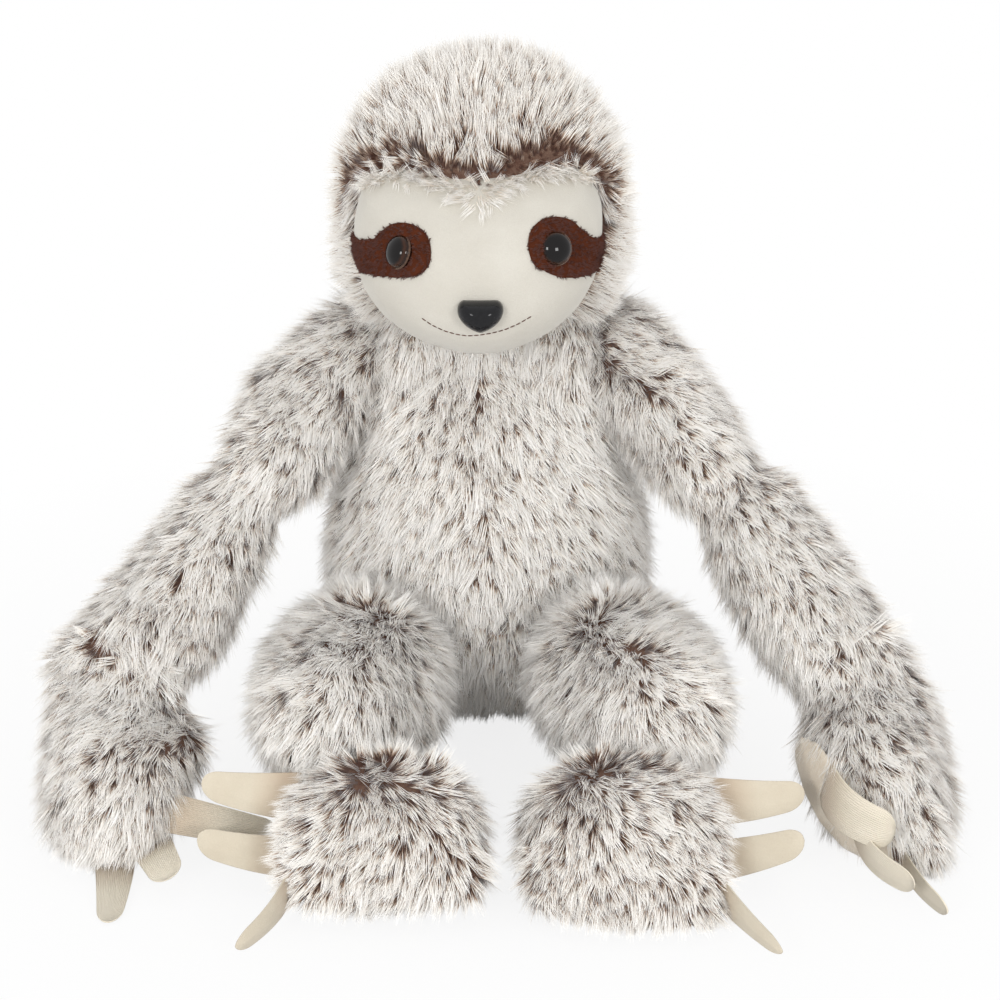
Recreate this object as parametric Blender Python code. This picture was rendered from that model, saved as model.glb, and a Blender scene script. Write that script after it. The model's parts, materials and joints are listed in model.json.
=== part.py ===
"""A sitting plush sloth, long-armed, with a fur hood, a short-pile face and fabric claws.

The toy is sewn from separate stuffed members. Each member narrows to a round end that sits in a
shallow seat of its neighbour, so that the soft joints can swing. Metres, +Z up, the face towards
-Y, the origin on the floor under the middle of the seat. Left and right are the toy's own.
"""

import math

import bmesh
import bpy
from mathutils import Matrix, Vector
from mathutils.bvhtree import BVHTree

# Clearances and cloth
SEAM_GAP = 0.0003
BALL_GAP = 0.0008
WELD = 0.00002
SWEEP_MERGE = 0.0020
CUT_OVERRUN = 0.004
SKIN_THICKNESS = 0.009

# Torso, a pear that stands on its flat seat
TORSO_HEIGHT = 0.214
TORSO_WIDTH = 0.160
TORSO_DEPTH = 0.118
TORSO_SHIFT_BACK = 0.003
SEAT_BAG_WIDTH = 0.078
SEAT_BAG_DEPTH = 0.058
SEAT_BAG_HEIGHT = 0.026

# Neck and head
NECK_RADIUS = 0.034
NECK_RISE = 0.008
NECK_SHIFT_FORWARD = 0.006
HOOD_WIDTH = 0.136
HOOD_DEPTH = 0.118
HOOD_HEIGHT = 0.115
HOOD_RISE = 0.004
HOOD_SHIFT_FORWARD = 0.008

# Face panel, a shallow dome set in the hood, whose tip carries the nose
FACE_SIDE_MARGIN = 0.011
FACE_CROWN_MARGIN = 0.050
FACE_CHIN_OVERHANG = 0.015
FACE_SET_IN = 0.035
FACE_PROTRUSION = 0.024
FACE_CLOTH = 0.0035
FACE_WIDTH = HOOD_WIDTH - 2 * FACE_SIDE_MARGIN
FACE_HEIGHT = HOOD_HEIGHT - FACE_CROWN_MARGIN + FACE_CHIN_OVERHANG
FACE_DEPTH = FACE_SET_IN + FACE_PROTRUSION
PATCH_WIDTH = 0.038
PATCH_HEIGHT = 0.026
PATCH_CLOTH = 0.0011
MOUTH_WIDTH = 0.050
MOUTH_DROP = 0.0085
MOUTH_THREAD = 0.0012

# Safety eyes and nose, with ribbed stems and lock washers
EYE_WIDTH = 0.0142
EYE_DOME_HEIGHT = 0.0062
EYE_RIM = 0.0012
NOSE_WIDTH = 0.0195
NOSE_HEIGHT = 0.0135
NOSE_DOME_HEIGHT = 0.0075
NOSE_BULGE = 0.0026
STEM_RADIUS = 0.0024
STEM_RIB = 0.0003
STEM_LENGTH = 0.0125
WASHER_RADIUS = 0.0068
WASHER_THICKNESS = 0.0018

# Arms
SHOULDER_RADIUS = 0.027
ELBOW_RADIUS = 0.0225
WRIST_RADIUS = 0.0215
UPPER_ARM_LENGTH = 0.094
FOREARM_LENGTH = 0.098
ARM_WIDTH = 0.058
HAND_LENGTH = 0.085
HAND_WIDTH = 0.080
HAND_THICKNESS = 0.070

# Legs
HIP_RADIUS = 0.036
ANKLE_RADIUS = 0.040
LEG_LENGTH = 0.074
LEG_WIDTH = 0.094
LEG_THICKNESS = 0.092
FOOT_LENGTH = 0.098
FOOT_WIDTH = 0.078
FOOT_THICKNESS = 0.066
FOOT_PRESSED_FLAT = 0.0046

# Pads and claws
PAD_RECESS = 0.0035
PAD_CLOTH = 0.0025
PALM_PAD_LENGTH = 0.066
PALM_PAD_WIDTH = 0.052
SOLE_PAD_LENGTH = 0.076
SOLE_PAD_WIDTH = 0.044

# How the joints swing, in degrees
HEAD_ROLL_DEGREES = 2.5
CLAW_SWING_DEGREES = 10.0
ARM_CLEAR_DEGREES = (0.0, 28.0)
LEG_CLEAR_DEGREES = (-3.0, 10.0)
FOOT_CLEAR_DEGREES = (-9.0, 13.0)
LEG_AXIS = Vector((-1, 0, 0))
CLAW_LENGTH = 0.042
CLAW_WIDTH = 0.0165
CLAW_THICKNESS = 0.0034
CLAW_SOCKET_GAP = 0.0004
CLAW_SLOT_REACH = 0.012

# Facets
LIMB_SIDES = 14
BODY_SIDES = 24
BALL_SIDES = 18
ROUND_SIDES = 12
STEM_STEPS = 10

# Half-sections of the torso: share of height, of half width, of half depth
TORSO_SECTION_SHARES = (
    (0.00, 0.66, 0.66),
    (0.04, 0.80, 0.80),
    (0.13, 0.94, 0.92),
    (0.28, 1.00, 0.97),
    (0.46, 1.01, 1.00),
    (0.63, 0.93, 0.95),
    (0.78, 0.80, 0.84),
    (0.90, 0.64, 0.71),
    (1.00, 0.47, 0.58),
)
# Sections of the hood, from its open lower edge to the crown
HOOD_SECTION_SHARES = (
    (0.00, 0.60, 0.62),
    (0.02, 0.70, 0.74),
    (0.07, 0.85, 0.87),
    (0.16, 0.95, 0.96),
    (0.31, 1.00, 1.00),
    (0.47, 1.00, 1.00),
    (0.63, 0.94, 0.94),
    (0.78, 0.79, 0.80),
    (0.89, 0.59, 0.61),
    (0.96, 0.36, 0.38),
    (1.00, 0.00, 0.00),
)
# Outline of the face, seen from the front, from the crown round to the chin: share of half
# width and of half height
FACE_OUTLINE_SHARES = (
    (0.00, 0.92),
    (0.28, 0.97),
    (0.56, 0.95),
    (0.80, 0.78),
    (0.95, 0.48),
    (1.00, 0.14),
    (0.95, -0.20),
    (0.82, -0.50),
    (0.62, -0.74),
    (0.38, -0.90),
    (0.17, -0.98),
    (0.00, -1.00),
)
# The face's dome: share of its depth from back to front, scale of the outline, and lift of
# the outline's middle as a share of the face's height
FACE_DOME_SHARES = (
    (0.00, 0.90, 0.10),
    (0.12, 0.97, 0.06),
    (0.28, 1.00, 0.02),
    (0.46, 0.96, 0.00),
    (0.64, 0.85, -0.01),
    (0.79, 0.69, -0.03),
    (0.90, 0.50, -0.06),
    (0.97, 0.28, -0.09),
    (1.00, 0.00, -0.11),
)
# An eye patch round its eye, outwards positive: share of patch width and of patch height
PATCH_OUTLINE_SHARES = (
    (-0.30, 0.00),
    (-0.27, 0.22),
    (-0.14, 0.39),
    (0.05, 0.42),
    (0.22, 0.32),
    (0.38, 0.12),
    (0.66, 0.10),
    (0.64, -0.20),
    (0.55, -0.44),
    (0.25, -0.54),
    (0.00, -0.50),
    (-0.20, -0.30),
)
# A nose seen from the front: share of width and of height
NOSE_OUTLINE_SHARES = (
    (0.00, 0.44),
    (0.26, 0.46),
    (0.44, 0.38),
    (0.50, 0.18),
    (0.43, -0.08),
    (0.27, -0.34),
    (0.10, -0.50),
    (0.00, -0.54),
)
NOSE_DOME_SHARES = ((0.00, 0.88), (0.22, 1.00), (0.55, 0.92), (0.82, 0.68), (1.00, 0.30))
NOSE_TIP_SHARE = 1.04
# Places on the face: share of half width and of height, or of height alone
EYE_PLACE_SHARES = (0.57, 0.185)
NOSE_PLACE_SHARE = -0.11
MOUTH_PLACE_SHARE = -0.245
# How far the domed face falls away under the flat back of an eye, as a share of its dome
EYE_SAGGING_SHARE = 0.1

# Places of the seats on the torso: share of half width, of half depth and of height. The feet
# on the floor set the height of the hips
SHOULDER_PLACE_SHARES = (0.735, -0.10, 0.925)
HIP_PLACE_SHARES = (0.645, -0.78)

# Sections of the arm and leg members: share of length, of half width, of half thickness
UPPER_ARM_SHARES = ((0.16, 0.98, 0.98), (0.36, 1.00, 1.00), (0.60, 1.00, 1.00), (0.76, 0.97, 0.97))
FOREARM_SHARES = ((0.14, 0.88, 0.88), (0.32, 0.98, 0.98), (0.58, 1.00, 1.00), (0.76, 0.97, 0.97))
HAND_SHARES = (
    (0.12, 0.76, 0.86),
    (0.28, 0.93, 0.98),
    (0.46, 1.00, 1.00),
    (0.64, 0.98, 0.94),
    (0.80, 0.85, 0.78),
    (0.91, 0.62, 0.55),
    (0.98, 0.30, 0.26),
)
LEG_SHARES = ((0.20, 0.88, 0.88), (0.44, 0.99, 0.99), (0.68, 1.00, 1.00), (0.88, 0.93, 0.93))
FOOT_SHARES = (
    (-0.47, 0.30, 0.30),
    (-0.40, 0.58, 0.60),
    (-0.27, 0.83, 0.86),
    (-0.08, 0.99, 1.00),
    (0.12, 1.00, 0.98),
    (0.29, 0.88, 0.84),
    (0.41, 0.64, 0.60),
    (0.48, 0.34, 0.32),
)
# How far before the next pivot a member ends, as a share of the next ball's radius, and the
# radius of that end as a share of the same ball
CUP_REACH_SHARE = 0.50
CUP_RIM_SHARE = 1.10

# How the limbs lie at rest, in degrees: outwards and forwards from straight down
UPPER_ARM_HANG_DEGREES = (40.0, 37.0)
FOREARM_HANG_DEGREES = (34.0, 31.0)
HAND_HANG_DEGREES = {"right": (10.0, 41.0), "left": (22.0, 42.0)}
LEG_TURN_OUT_DEGREES = {"right": 12.0, "left": 16.0}
LEG_RISE_DEGREES = 3.0
FOOT_TURN_OUT_DEGREES = {"right": -7.0, "left": -4.0}
FOOT_LEAN_BACK_DEGREES = 33.0

# Middles of the pads along the hand, from the wrist, and along the foot, from its middle
PALM_PLACE_SHARE = 0.56
SOLE_PLACE_SHARE = 0.02
# Ways that a pad faces and places from a pivot, as shares outwards, forwards and up
PALM_FACING_SHARES = {"right": (-0.62, -0.55, -0.55), "left": (-0.75, 0.50, -0.40)}
FOOT_FROM_ANKLE_SHARES = {"right": (-0.575, 1.30, -0.75), "left": (-0.350, 1.30, -0.75)}

# Claws: the root seen from the middle of the hand or foot, the way it leaves there, and the
# way that its flat faces and its tip curls, as shares outwards, forwards and up. Last come the
# degrees of curl
HAND_CLAW_SHARES = {
    "right": (
        ("inner", (-0.84, 0.50, -0.14), (-0.96, 0.00, -0.24), (0.00, -0.90, -0.40), 12.0),
        ("middle", (-0.50, 0.70, -0.42), (-0.30, 0.94, 0.16), (-0.30, -0.20, -0.85), 45.0),
        ("outer", (0.08, 0.68, -0.60), (-0.12, 0.98, 0.00), (0.00, 0.00, -1.00), 6.0),
    ),
    "left": (
        ("inner", (-0.60, 0.75, 0.18), (-0.35, 0.92, 0.05), (0.92, 0.30, -0.15), 75.0),
        ("middle", (-0.27, 0.90, -0.22), (0.10, 0.98, -0.10), (0.95, -0.20, 0.10), 44.0),
        ("outer", (0.24, 0.76, -0.55), (0.14, 0.98, -0.02), (0.95, -0.10, 0.15), 18.0),
    ),
}
FOOT_CLAW_SHARES = {
    "right": (
        ("upper", (0.93, -0.28, 0.20), (1.00, 0.05, 0.06), (0.00, -0.93, -0.37), 12.0),
        ("middle", (0.95, -0.10, -0.32), (1.00, 0.02, 0.05), (0.00, -0.93, -0.37), 12.0),
        ("lower", (0.85, 0.34, -0.40), (0.20, 0.95, -0.10), (0.96, -0.20, 0.00), 25.0),
    ),
    "left": (
        ("upper", (0.93, -0.28, 0.12), (1.00, 0.02, -0.02), (0.00, -0.93, -0.37), 12.0),
        ("middle", (0.95, -0.06, -0.36), (0.99, 0.04, 0.14), (0.00, 0.93, 0.37), 14.0),
        ("lower", (0.85, 0.34, -0.40), (0.36, 0.92, -0.08), (0.93, -0.36, 0.00), 10.0),
    ),
}
CLAW_WIDTH_SHARES = ((0.10, 0.94), (0.30, 1.00), (0.55, 1.00), (0.76, 0.94), (0.89, 0.76), (0.97, 0.42))
CLAW_PULP_SHARES = ((0.10, 0.90), (0.30, 1.00), (0.55, 1.00), (0.76, 0.94), (0.89, 0.80), (0.97, 0.60))
CLAW_SECTION_SHARES = (
    (1.00, 0.00),
    (0.86, 0.72),
    (0.00, 1.00),
    (-0.86, 0.72),
    (-1.00, 0.00),
    (-0.86, -0.72),
    (0.00, -1.00),
    (0.86, -0.72),
)

LEAST_INNER_SHARE = 0.30
FLOOR_REACH_SHARE = 3.0
PAD_TURN_SHARE = 0.37
BALL_CAP_ANGLES = (24.0, 48.0, 70.0, 90.0)
HEAD_PIECES = (
    "hood",
    "head_filling",
    "face_panel",
    "right_eye_patch",
    "left_eye_patch",
    "right_eye",
    "left_eye",
    "right_eye_washer",
    "left_eye_washer",
    "nose",
    "nose_washer",
    "mouth_stitching",
)
# Which way along X a side lies
SIDE_SHARES = {"right": -1.0, "left": 1.0}

# Materials: colour, roughness, metallic
FINISHES = {
    "fur": ((0.60, 0.55, 0.50, 1.0), 0.95, 0.0),
    "face_pile": ((0.80, 0.74, 0.64, 1.0), 0.90, 0.0),
    "patch_pile": ((0.075, 0.024, 0.014, 1.0), 0.90, 0.0),
    "claw_cloth": ((0.78, 0.69, 0.52, 1.0), 0.90, 0.0),
    "pad_cloth": ((0.74, 0.68, 0.59, 1.0), 0.92, 0.0),
    "eye_plastic": ((0.03, 0.012, 0.006, 1.0), 0.08, 0.0),
    "nose_plastic": ((0.012, 0.012, 0.013, 1.0), 0.20, 0.0),
    "washer_plastic": ((0.80, 0.80, 0.78, 1.0), 0.45, 0.0),
    "thread": ((0.10, 0.06, 0.045, 1.0), 0.80, 0.0),
    "filling": ((0.86, 0.86, 0.84, 1.0), 1.0, 0.0),
    "pellet_cloth": ((0.70, 0.70, 0.68, 1.0), 0.90, 0.0),
}


def clear_scene():
    """Remove everything that the scene starts with."""
    for found in list(bpy.data.objects):
        bpy.data.objects.remove(found)


def finish_material(name):
    """The named finish as a material, made once."""
    material = bpy.data.materials.get(name)
    if material:
        return material
    colour, roughness, metallic = FINISHES[name]
    material = bpy.data.materials.new(name)
    material.use_nodes = True
    shader = material.node_tree.nodes["Principled BSDF"]
    shader.inputs["Base Color"].default_value = colour
    shader.inputs["Roughness"].default_value = roughness
    shader.inputs["Metallic"].default_value = metallic
    return material


def solid_from(name, bm, finish="fur"):
    """An object that holds the shape in bm, with its faces pointing out."""
    bmesh.ops.recalc_face_normals(bm, faces=bm.faces)
    mesh = bpy.data.meshes.new(name)
    bm.to_mesh(mesh)
    bm.free()
    mesh.materials.append(finish_material(finish))
    solid = bpy.data.objects.new(name, mesh)
    bpy.context.scene.collection.objects.link(solid)
    return solid


def loft(name, rings, start_pole=None, end_pole=None, finish="fur"):
    """A closed skin through the rings. A missing pole leaves that end flat."""
    bm = bmesh.new()
    loops = [[bm.verts.new(point) for point in ring] for ring in rings]
    count = len(loops[0])
    for near, far in zip(loops, loops[1:]):
        for i in range(count):
            j = (i + 1) % count
            bm.faces.new((near[i], near[j], far[j], far[i]))
    for loop, pole in ((loops[0], start_pole), (loops[-1], end_pole)):
        if pole is None:
            bm.faces.new(loop)
            continue
        tip = bm.verts.new(pole)
        for i in range(count):
            bm.faces.new((loop[i], loop[(i + 1) % count], tip))
    return solid_from(name, bm, finish)


def boolean(body, cutter, operation="DIFFERENCE", keep_cutter=False):
    """Cut the body with the cutter, or join or intersect them, for good."""
    modifier = body.modifiers.new(operation, "BOOLEAN")
    modifier.operation = operation
    modifier.object = cutter
    bpy.context.view_layer.update()
    graph = bpy.context.evaluated_depsgraph_get()
    shaped = bpy.data.meshes.new_from_object(body.evaluated_get(graph))
    bm = bmesh.new()
    bm.from_mesh(shaped)
    bmesh.ops.remove_doubles(bm, verts=bm.verts, dist=WELD)
    bm.to_mesh(shaped)
    bm.free()
    body.modifiers.clear()
    body.data = shaped
    if not keep_cutter:
        bpy.data.objects.remove(cutter)
    return body


def shade(body):
    """Smooth the round surfaces and keep the sewn or moulded edges."""
    body.data.shade_smooth()
    body.data.set_sharp_from_angle(angle=math.radians(38.0))
    return body


def place_origin(solid, pivot, turn=None):
    """Move the object's origin to its pivot, with its axes turned, and leave its shape in place."""
    frame = Matrix.Translation(pivot)
    if turn:
        frame = frame @ turn.to_4x4()
    solid.data.transform(frame.inverted())
    solid.matrix_world = frame


def ball(centre, radius, sides=BALL_SIDES):
    """A sphere that shapes or cuts a seat."""
    bm = bmesh.new()
    bmesh.ops.create_uvsphere(bm, u_segments=sides, v_segments=sides // 2, radius=radius)
    bmesh.ops.translate(bm, verts=bm.verts, vec=centre)
    return solid_from("ball", bm)


def cylinder(centre, axis, radius, length, sides=ROUND_SIDES, finish="fur"):
    """A round bar along the axis, with its middle at the centre."""
    bm = bmesh.new()
    bmesh.ops.create_cone(
        bm, cap_ends=True, segments=sides, radius1=radius, radius2=radius, depth=length
    )
    turn = Vector((0, 0, 1)).rotation_difference(axis).to_matrix().to_4x4()
    bmesh.ops.transform(bm, matrix=Matrix.Translation(centre) @ turn, verts=bm.verts)
    return solid_from("cylinder", bm, finish)


def floor_cutter(height=0.0):
    """A slab whose top is the floor, or lies at a height over it."""
    reach = TORSO_HEIGHT * FLOOR_REACH_SHARE
    bm = bmesh.new()
    bmesh.ops.create_cube(bm, size=reach)
    bmesh.ops.translate(bm, verts=bm.verts, vec=(0, 0, height - reach / 2))
    return solid_from("floor_cutter", bm)


def square_frame(direction, towards):
    """A unit vector across the direction, as near as it can be to towards, and the third one."""
    across = (towards - direction * towards.dot(direction)).normalized()
    return across, direction.cross(across).normalized()


def shrunk_by(half, inset):
    """A half width less the inset, but never under a share of itself."""
    return max(half - inset, half * LEAST_INNER_SHARE)


def ellipse(centre, across, third, half_width, half_thickness, sides=LIMB_SIDES, start=0.0):
    """Points round an ellipse in the plane of across and third, from start shares of a step."""
    points = []
    for i in range(sides):
        angle = 2 * math.pi * (i + start) / sides
        reach = across * half_width * math.cos(angle) + third * half_thickness * math.sin(angle)
        points.append(centre + reach)
    return points


def hanging(side, out_degrees, forward_degrees):
    """A direction that leans outwards and forwards from straight down."""
    out = math.tan(math.radians(out_degrees))
    forward = math.tan(math.radians(forward_degrees))
    return Vector((side * out, -forward, -1)).normalized()


def lying(side, shares):
    """A direction from shares outwards, forwards and up."""
    return Vector((side * shares[0], -shares[1], shares[2])).normalized()


def stuffed_member(name, pivot, direction, towards, radius, length, size, shares, inset=0.0, tip=None):
    """A stuffed member that starts as a ball on its pivot and swells along its direction.

    size is the full width and thickness, shares its sections, and tip the share of the length
    where it closes in a point. Without a tip the last section stays flat.
    """
    across, third = square_frame(direction, towards)
    rings = []
    for degrees in BALL_CAP_ANGLES:
        angle = math.radians(degrees)
        shrunk = radius - inset
        centre = pivot - direction * shrunk * math.cos(angle)
        rings.append(ellipse(centre, across, third, shrunk * math.sin(angle), shrunk * math.sin(angle)))
    for along, wide, thick in shares:
        centre = pivot + direction * along * (length - inset)
        half_width = shrunk_by(size[0] / 2 * wide, inset)
        half_thickness = shrunk_by(size[1] / 2 * thick, inset)
        rings.append(ellipse(centre, across, third, half_width, half_thickness))
    start_pole = pivot - direction * (radius - inset)
    end_pole = None if tip is None else pivot + direction * tip * (length - inset)
    return loft(name, rings, start_pole, end_pole)


def cup_section(length, next_radius, size):
    """The last section of a member whose end is hollowed for the next member's ball."""
    along = 1 - CUP_REACH_SHARE * next_radius / length
    wide = CUP_RIM_SHARE * next_radius / (size[0] / 2)
    thick = CUP_RIM_SHARE * next_radius / (size[1] / 2)
    return (along, wide, thick)


def stacked_form(name, base, height, width, depth, shares, inset=0.0, open_top=0.0):
    """Oval sections stacked from base. open_top carries the top on, to cut an opening."""
    rings = []
    pole = None
    for up, wide, deep in shares:
        centre = base + Vector((0, 0, inset + (height - 2 * inset) * up))
        if wide == 0:
            pole = centre
            continue
        half_width = width / 2 * wide - inset
        half_depth = depth / 2 * deep - inset
        rings.append(
            ellipse(centre, Vector((1, 0, 0)), Vector((0, 1, 0)), half_width, half_depth, BODY_SIDES)
        )
    if open_top:
        lift = Vector((0, 0, inset + open_top))
        rings.append([point + lift for point in rings[-1]])
    return loft(name, rings, None, pole)


# Places that several pieces share
TORSO_BASE = Vector((0, TORSO_SHIFT_BACK, 0))
NECK_PIVOT = Vector((0, -NECK_SHIFT_FORWARD, TORSO_HEIGHT + NECK_RISE))
HOOD_BASE = NECK_PIVOT + Vector((0, -HOOD_SHIFT_FORWARD, HOOD_RISE))
FACE_CENTRE = HOOD_BASE + Vector((0, FACE_SET_IN - HOOD_DEPTH / 2, FACE_HEIGHT / 2 - FACE_CHIN_OVERHANG))


def torso_place(side, shares):
    """A point given by shares of the torso's half width, half depth and height."""
    return TORSO_BASE + Vector((
        side * TORSO_WIDTH / 2 * shares[0],
        TORSO_DEPTH / 2 * shares[1],
        TORSO_HEIGHT * shares[2],
    ))


def torso_form(name, inset=0.0, open_top=0.0):
    """The torso's outer shape, or the shape a given depth inside it."""
    return stacked_form(
        name, TORSO_BASE, TORSO_HEIGHT, TORSO_WIDTH, TORSO_DEPTH, TORSO_SECTION_SHARES, inset, open_top
    )


def seat_bag_form(name, grown=0.0):
    """The flat oval bag of pellets that weights the seat."""
    centre = TORSO_BASE + Vector((0, 0, SKIN_THICKNESS + SEAM_GAP))
    rings = []
    for up, wide in ((0.0, 0.86), (0.22, 1.00), (0.62, 0.96), (0.90, 0.72)):
        rings.append(ellipse(
            centre + Vector((0, 0, SEAT_BAG_HEIGHT * up - (grown if up == 0 else 0))),
            Vector((1, 0, 0)), Vector((0, 1, 0)),
            SEAT_BAG_WIDTH / 2 * wide + grown, SEAT_BAG_DEPTH / 2 * wide + grown,
        ))
    top = centre + Vector((0, 0, SEAT_BAG_HEIGHT + grown))
    return loft(name, rings, None, top, "pellet_cloth")


def arm_pivots(side_name):
    """The shoulder, elbow and wrist of one arm, and the ways its three members point."""
    side = SIDE_SHARES[side_name]
    ways = [
        hanging(side, *UPPER_ARM_HANG_DEGREES),
        hanging(side, *FOREARM_HANG_DEGREES),
        hanging(side, *HAND_HANG_DEGREES[side_name]),
    ]
    shoulder = torso_place(side, SHOULDER_PLACE_SHARES)
    elbow = shoulder + ways[0] * UPPER_ARM_LENGTH
    wrist = elbow + ways[1] * FOREARM_LENGTH
    return (shoulder, elbow, wrist), ways


def foot_middle_height():
    """How high the middle of a leaning foot lies over the floor, which presses it flat."""
    lean = math.radians(FOOT_LEAN_BACK_DEGREES)
    return math.hypot(FOOT_WIDTH / 2 * math.cos(lean), FOOT_THICKNESS / 2 * math.sin(lean)) - FOOT_PRESSED_FLAT


def leg_pivots(side_name):
    """The hip and ankle of one leg, the way it points, and the middle of its foot."""
    side = SIDE_SHARES[side_name]
    turn = math.radians(LEG_TURN_OUT_DEGREES[side_name])
    rise = math.radians(LEG_RISE_DEGREES)
    direction = Vector((side * math.sin(turn), -math.cos(turn), math.sin(rise))).normalized()
    outwards, forwards, up = FOOT_FROM_ANKLE_SHARES[side_name]
    to_foot = direction * LEG_LENGTH + Vector((side * outwards, -forwards, up)) * ANKLE_RADIUS
    hip = torso_place(side, HIP_PLACE_SHARES + (0.0,))
    hip.z = foot_middle_height() - to_foot.z
    return hip, hip + direction * LEG_LENGTH, direction, hip + to_foot


def lift_axis(side_name):
    """The axis about which an arm lifts outwards."""
    return Vector((0, -SIDE_SHARES[side_name], 0))


def upper_arm_form(side_name, inset=0.0):
    """The upper arm before its elbow seat is cut. A negative inset grows it."""
    (shoulder, _, _), (way, _, _) = arm_pivots(side_name)
    size = (ARM_WIDTH, ARM_WIDTH)
    shares = UPPER_ARM_SHARES + (cup_section(UPPER_ARM_LENGTH, ELBOW_RADIUS, size),)
    return stuffed_member(
        f"{side_name}_upper_arm", shoulder, way, Vector((0, -1, 0)),
        SHOULDER_RADIUS, UPPER_ARM_LENGTH, size, shares, inset,
    )


def leg_form(side_name, inset=0.0):
    """The leg, round at the hip and at the ankle. A negative inset grows it."""
    hip, _, way, _ = leg_pivots(side_name)
    round_end = []
    for degrees in (0.0, 22.0, 44.0, 66.0):
        angle = math.radians(degrees)
        round_end.append((
            1 + ANKLE_RADIUS * math.sin(angle) / LEG_LENGTH,
            ANKLE_RADIUS * math.cos(angle) / (LEG_WIDTH / 2),
            ANKLE_RADIUS * math.cos(angle) / (LEG_THICKNESS / 2),
        ))
    return stuffed_member(
        f"{side_name}_leg", hip, way, Vector((1, 0, 0)), HIP_RADIUS, LEG_LENGTH,
        (LEG_WIDTH, LEG_THICKNESS), LEG_SHARES + tuple(round_end), inset,
        1 + ANKLE_RADIUS / LEG_LENGTH,
    )


def swept(solid, pivot, axis, low, high):
    """Replace the solid by the hull of all that it covers as it swings about its pivot."""
    bm = bmesh.new()
    for degrees in (low, high):
        about = Matrix.Rotation(math.radians(degrees), 4, axis)
        place = Matrix.Translation(pivot) @ about @ Matrix.Translation(-pivot)
        for vertex in solid.data.vertices:
            bm.verts.new(place @ vertex.co)
    hull = bmesh.ops.convex_hull(bm, input=bm.verts)
    spare = {v for v in hull["geom_interior"] + hull["geom_unused"] if isinstance(v, bmesh.types.BMVert)}
    bmesh.ops.delete(bm, geom=list(spare), context="VERTS")
    bmesh.ops.remove_doubles(bm, verts=bm.verts, dist=SWEEP_MERGE)
    bpy.data.objects.remove(solid)
    return solid_from("swept", bm)


def build_torso():
    """The fur skin, its filling with the neck stump, and the bag of pellets in the seat."""
    skin = torso_form("torso_skin")
    inner = torso_form("inner", SKIN_THICKNESS, SKIN_THICKNESS + CUT_OVERRUN)
    boolean(skin, inner)
    boolean(skin, ball(NECK_PIVOT, NECK_RADIUS + SEAM_GAP * 2))
    filling = torso_form("torso_filling", SKIN_THICKNESS + SEAM_GAP)
    boolean(filling, ball(NECK_PIVOT, NECK_RADIUS), "UNION")
    boolean(filling, seat_bag_form("bag_pocket", SEAM_GAP))
    filling.data.materials.clear()
    filling.data.materials.append(finish_material("filling"))
    seat_bag_form("seat_pellet_bag")
    for side_name in SIDE_SHARES:
        shoulder = arm_pivots(side_name)[0][0]
        lift = lift_axis(side_name)
        arm = swept(upper_arm_form(side_name, -BALL_GAP), shoulder, lift, *ARM_CLEAR_DEGREES)
        hip = leg_pivots(side_name)[0]
        leg = swept(leg_form(side_name, -BALL_GAP), hip, LEG_AXIS, *LEG_CLEAR_DEGREES)
        for limb in (arm, leg):
            boolean(skin, limb, keep_cutter=True)
            boolean(filling, limb)
    shade(skin)
    shade(filling)


def hood_form(name, inset=0.0):
    """The hood's outer shape, or the shape a given depth inside it."""
    return stacked_form(
        name, HOOD_BASE, HOOD_HEIGHT, HOOD_WIDTH, HOOD_DEPTH, HOOD_SECTION_SHARES, inset
    )


def face_form(name, grown=0.0, finish="face_pile"):
    """The face's dome, grown outwards or, where grown is negative, shrunk."""
    half = [(FACE_WIDTH / 2 * x, FACE_HEIGHT / 2 * z) for x, z in FACE_OUTLINE_SHARES]
    outline = half + [(-x, z) for x, z in reversed(half[1:-1])]
    rings = []
    pole = None
    for forward, scale, lift in FACE_DOME_SHARES:
        front = forward * FACE_DEPTH + grown * (1 - scale) if forward else -grown
        middle = FACE_CENTRE + Vector((0, -front, FACE_HEIGHT * lift))
        if scale == 0:
            pole = middle
            continue
        ring = []
        for x, z in outline:
            flat = Vector((x, 0, z)) * scale
            ring.append(middle + flat + flat.normalized() * grown)
        rings.append(ring)
    return loft(name, rings, None, pole, finish)


def surface_of(body):
    """A tree that finds points on the body's surface."""
    graph = bpy.context.evaluated_depsgraph_get()
    return BVHTree.FromObject(body, graph)


def on_face(tree, x, z):
    """The point and outward normal of the face straight in front of (x, z)."""
    start = Vector((x, -HOOD_DEPTH * 2, z))
    point, normal, _, _ = tree.ray_cast(start, Vector((0, 1, 0)))
    if normal.y > 0:
        normal = -normal
    return point, normal


def patch_prism(side, centre, grown=0.0):
    """A bar with an eye patch's outline, from in front of the face to behind it."""
    rings = []
    for y in (FACE_CENTRE.y, FACE_CENTRE.y - FACE_DEPTH * 2):
        ring = []
        for x, z in PATCH_OUTLINE_SHARES:
            ring.append(Vector((
                centre.x + side * x * (PATCH_WIDTH + grown), y, centre.z + z * (PATCH_HEIGHT + grown),
            )))
        rings.append(ring)
    return loft("prism", rings)


def ribbed_stem(start, axis, finish):
    """A stem with a rib every few millimetres, which a lock washer grips."""
    across, third = square_frame(axis, Vector((1, 0, 0)))
    rings = []
    for i in range(STEM_STEPS + 1):
        radius = STEM_RADIUS - (STEM_RIB if i % 2 else 0)
        centre = start + axis * STEM_LENGTH * i / STEM_STEPS
        rings.append(ellipse(centre, across, third, radius, radius, ROUND_SIDES))
    return loft("stem", rings, finish=finish)


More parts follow.
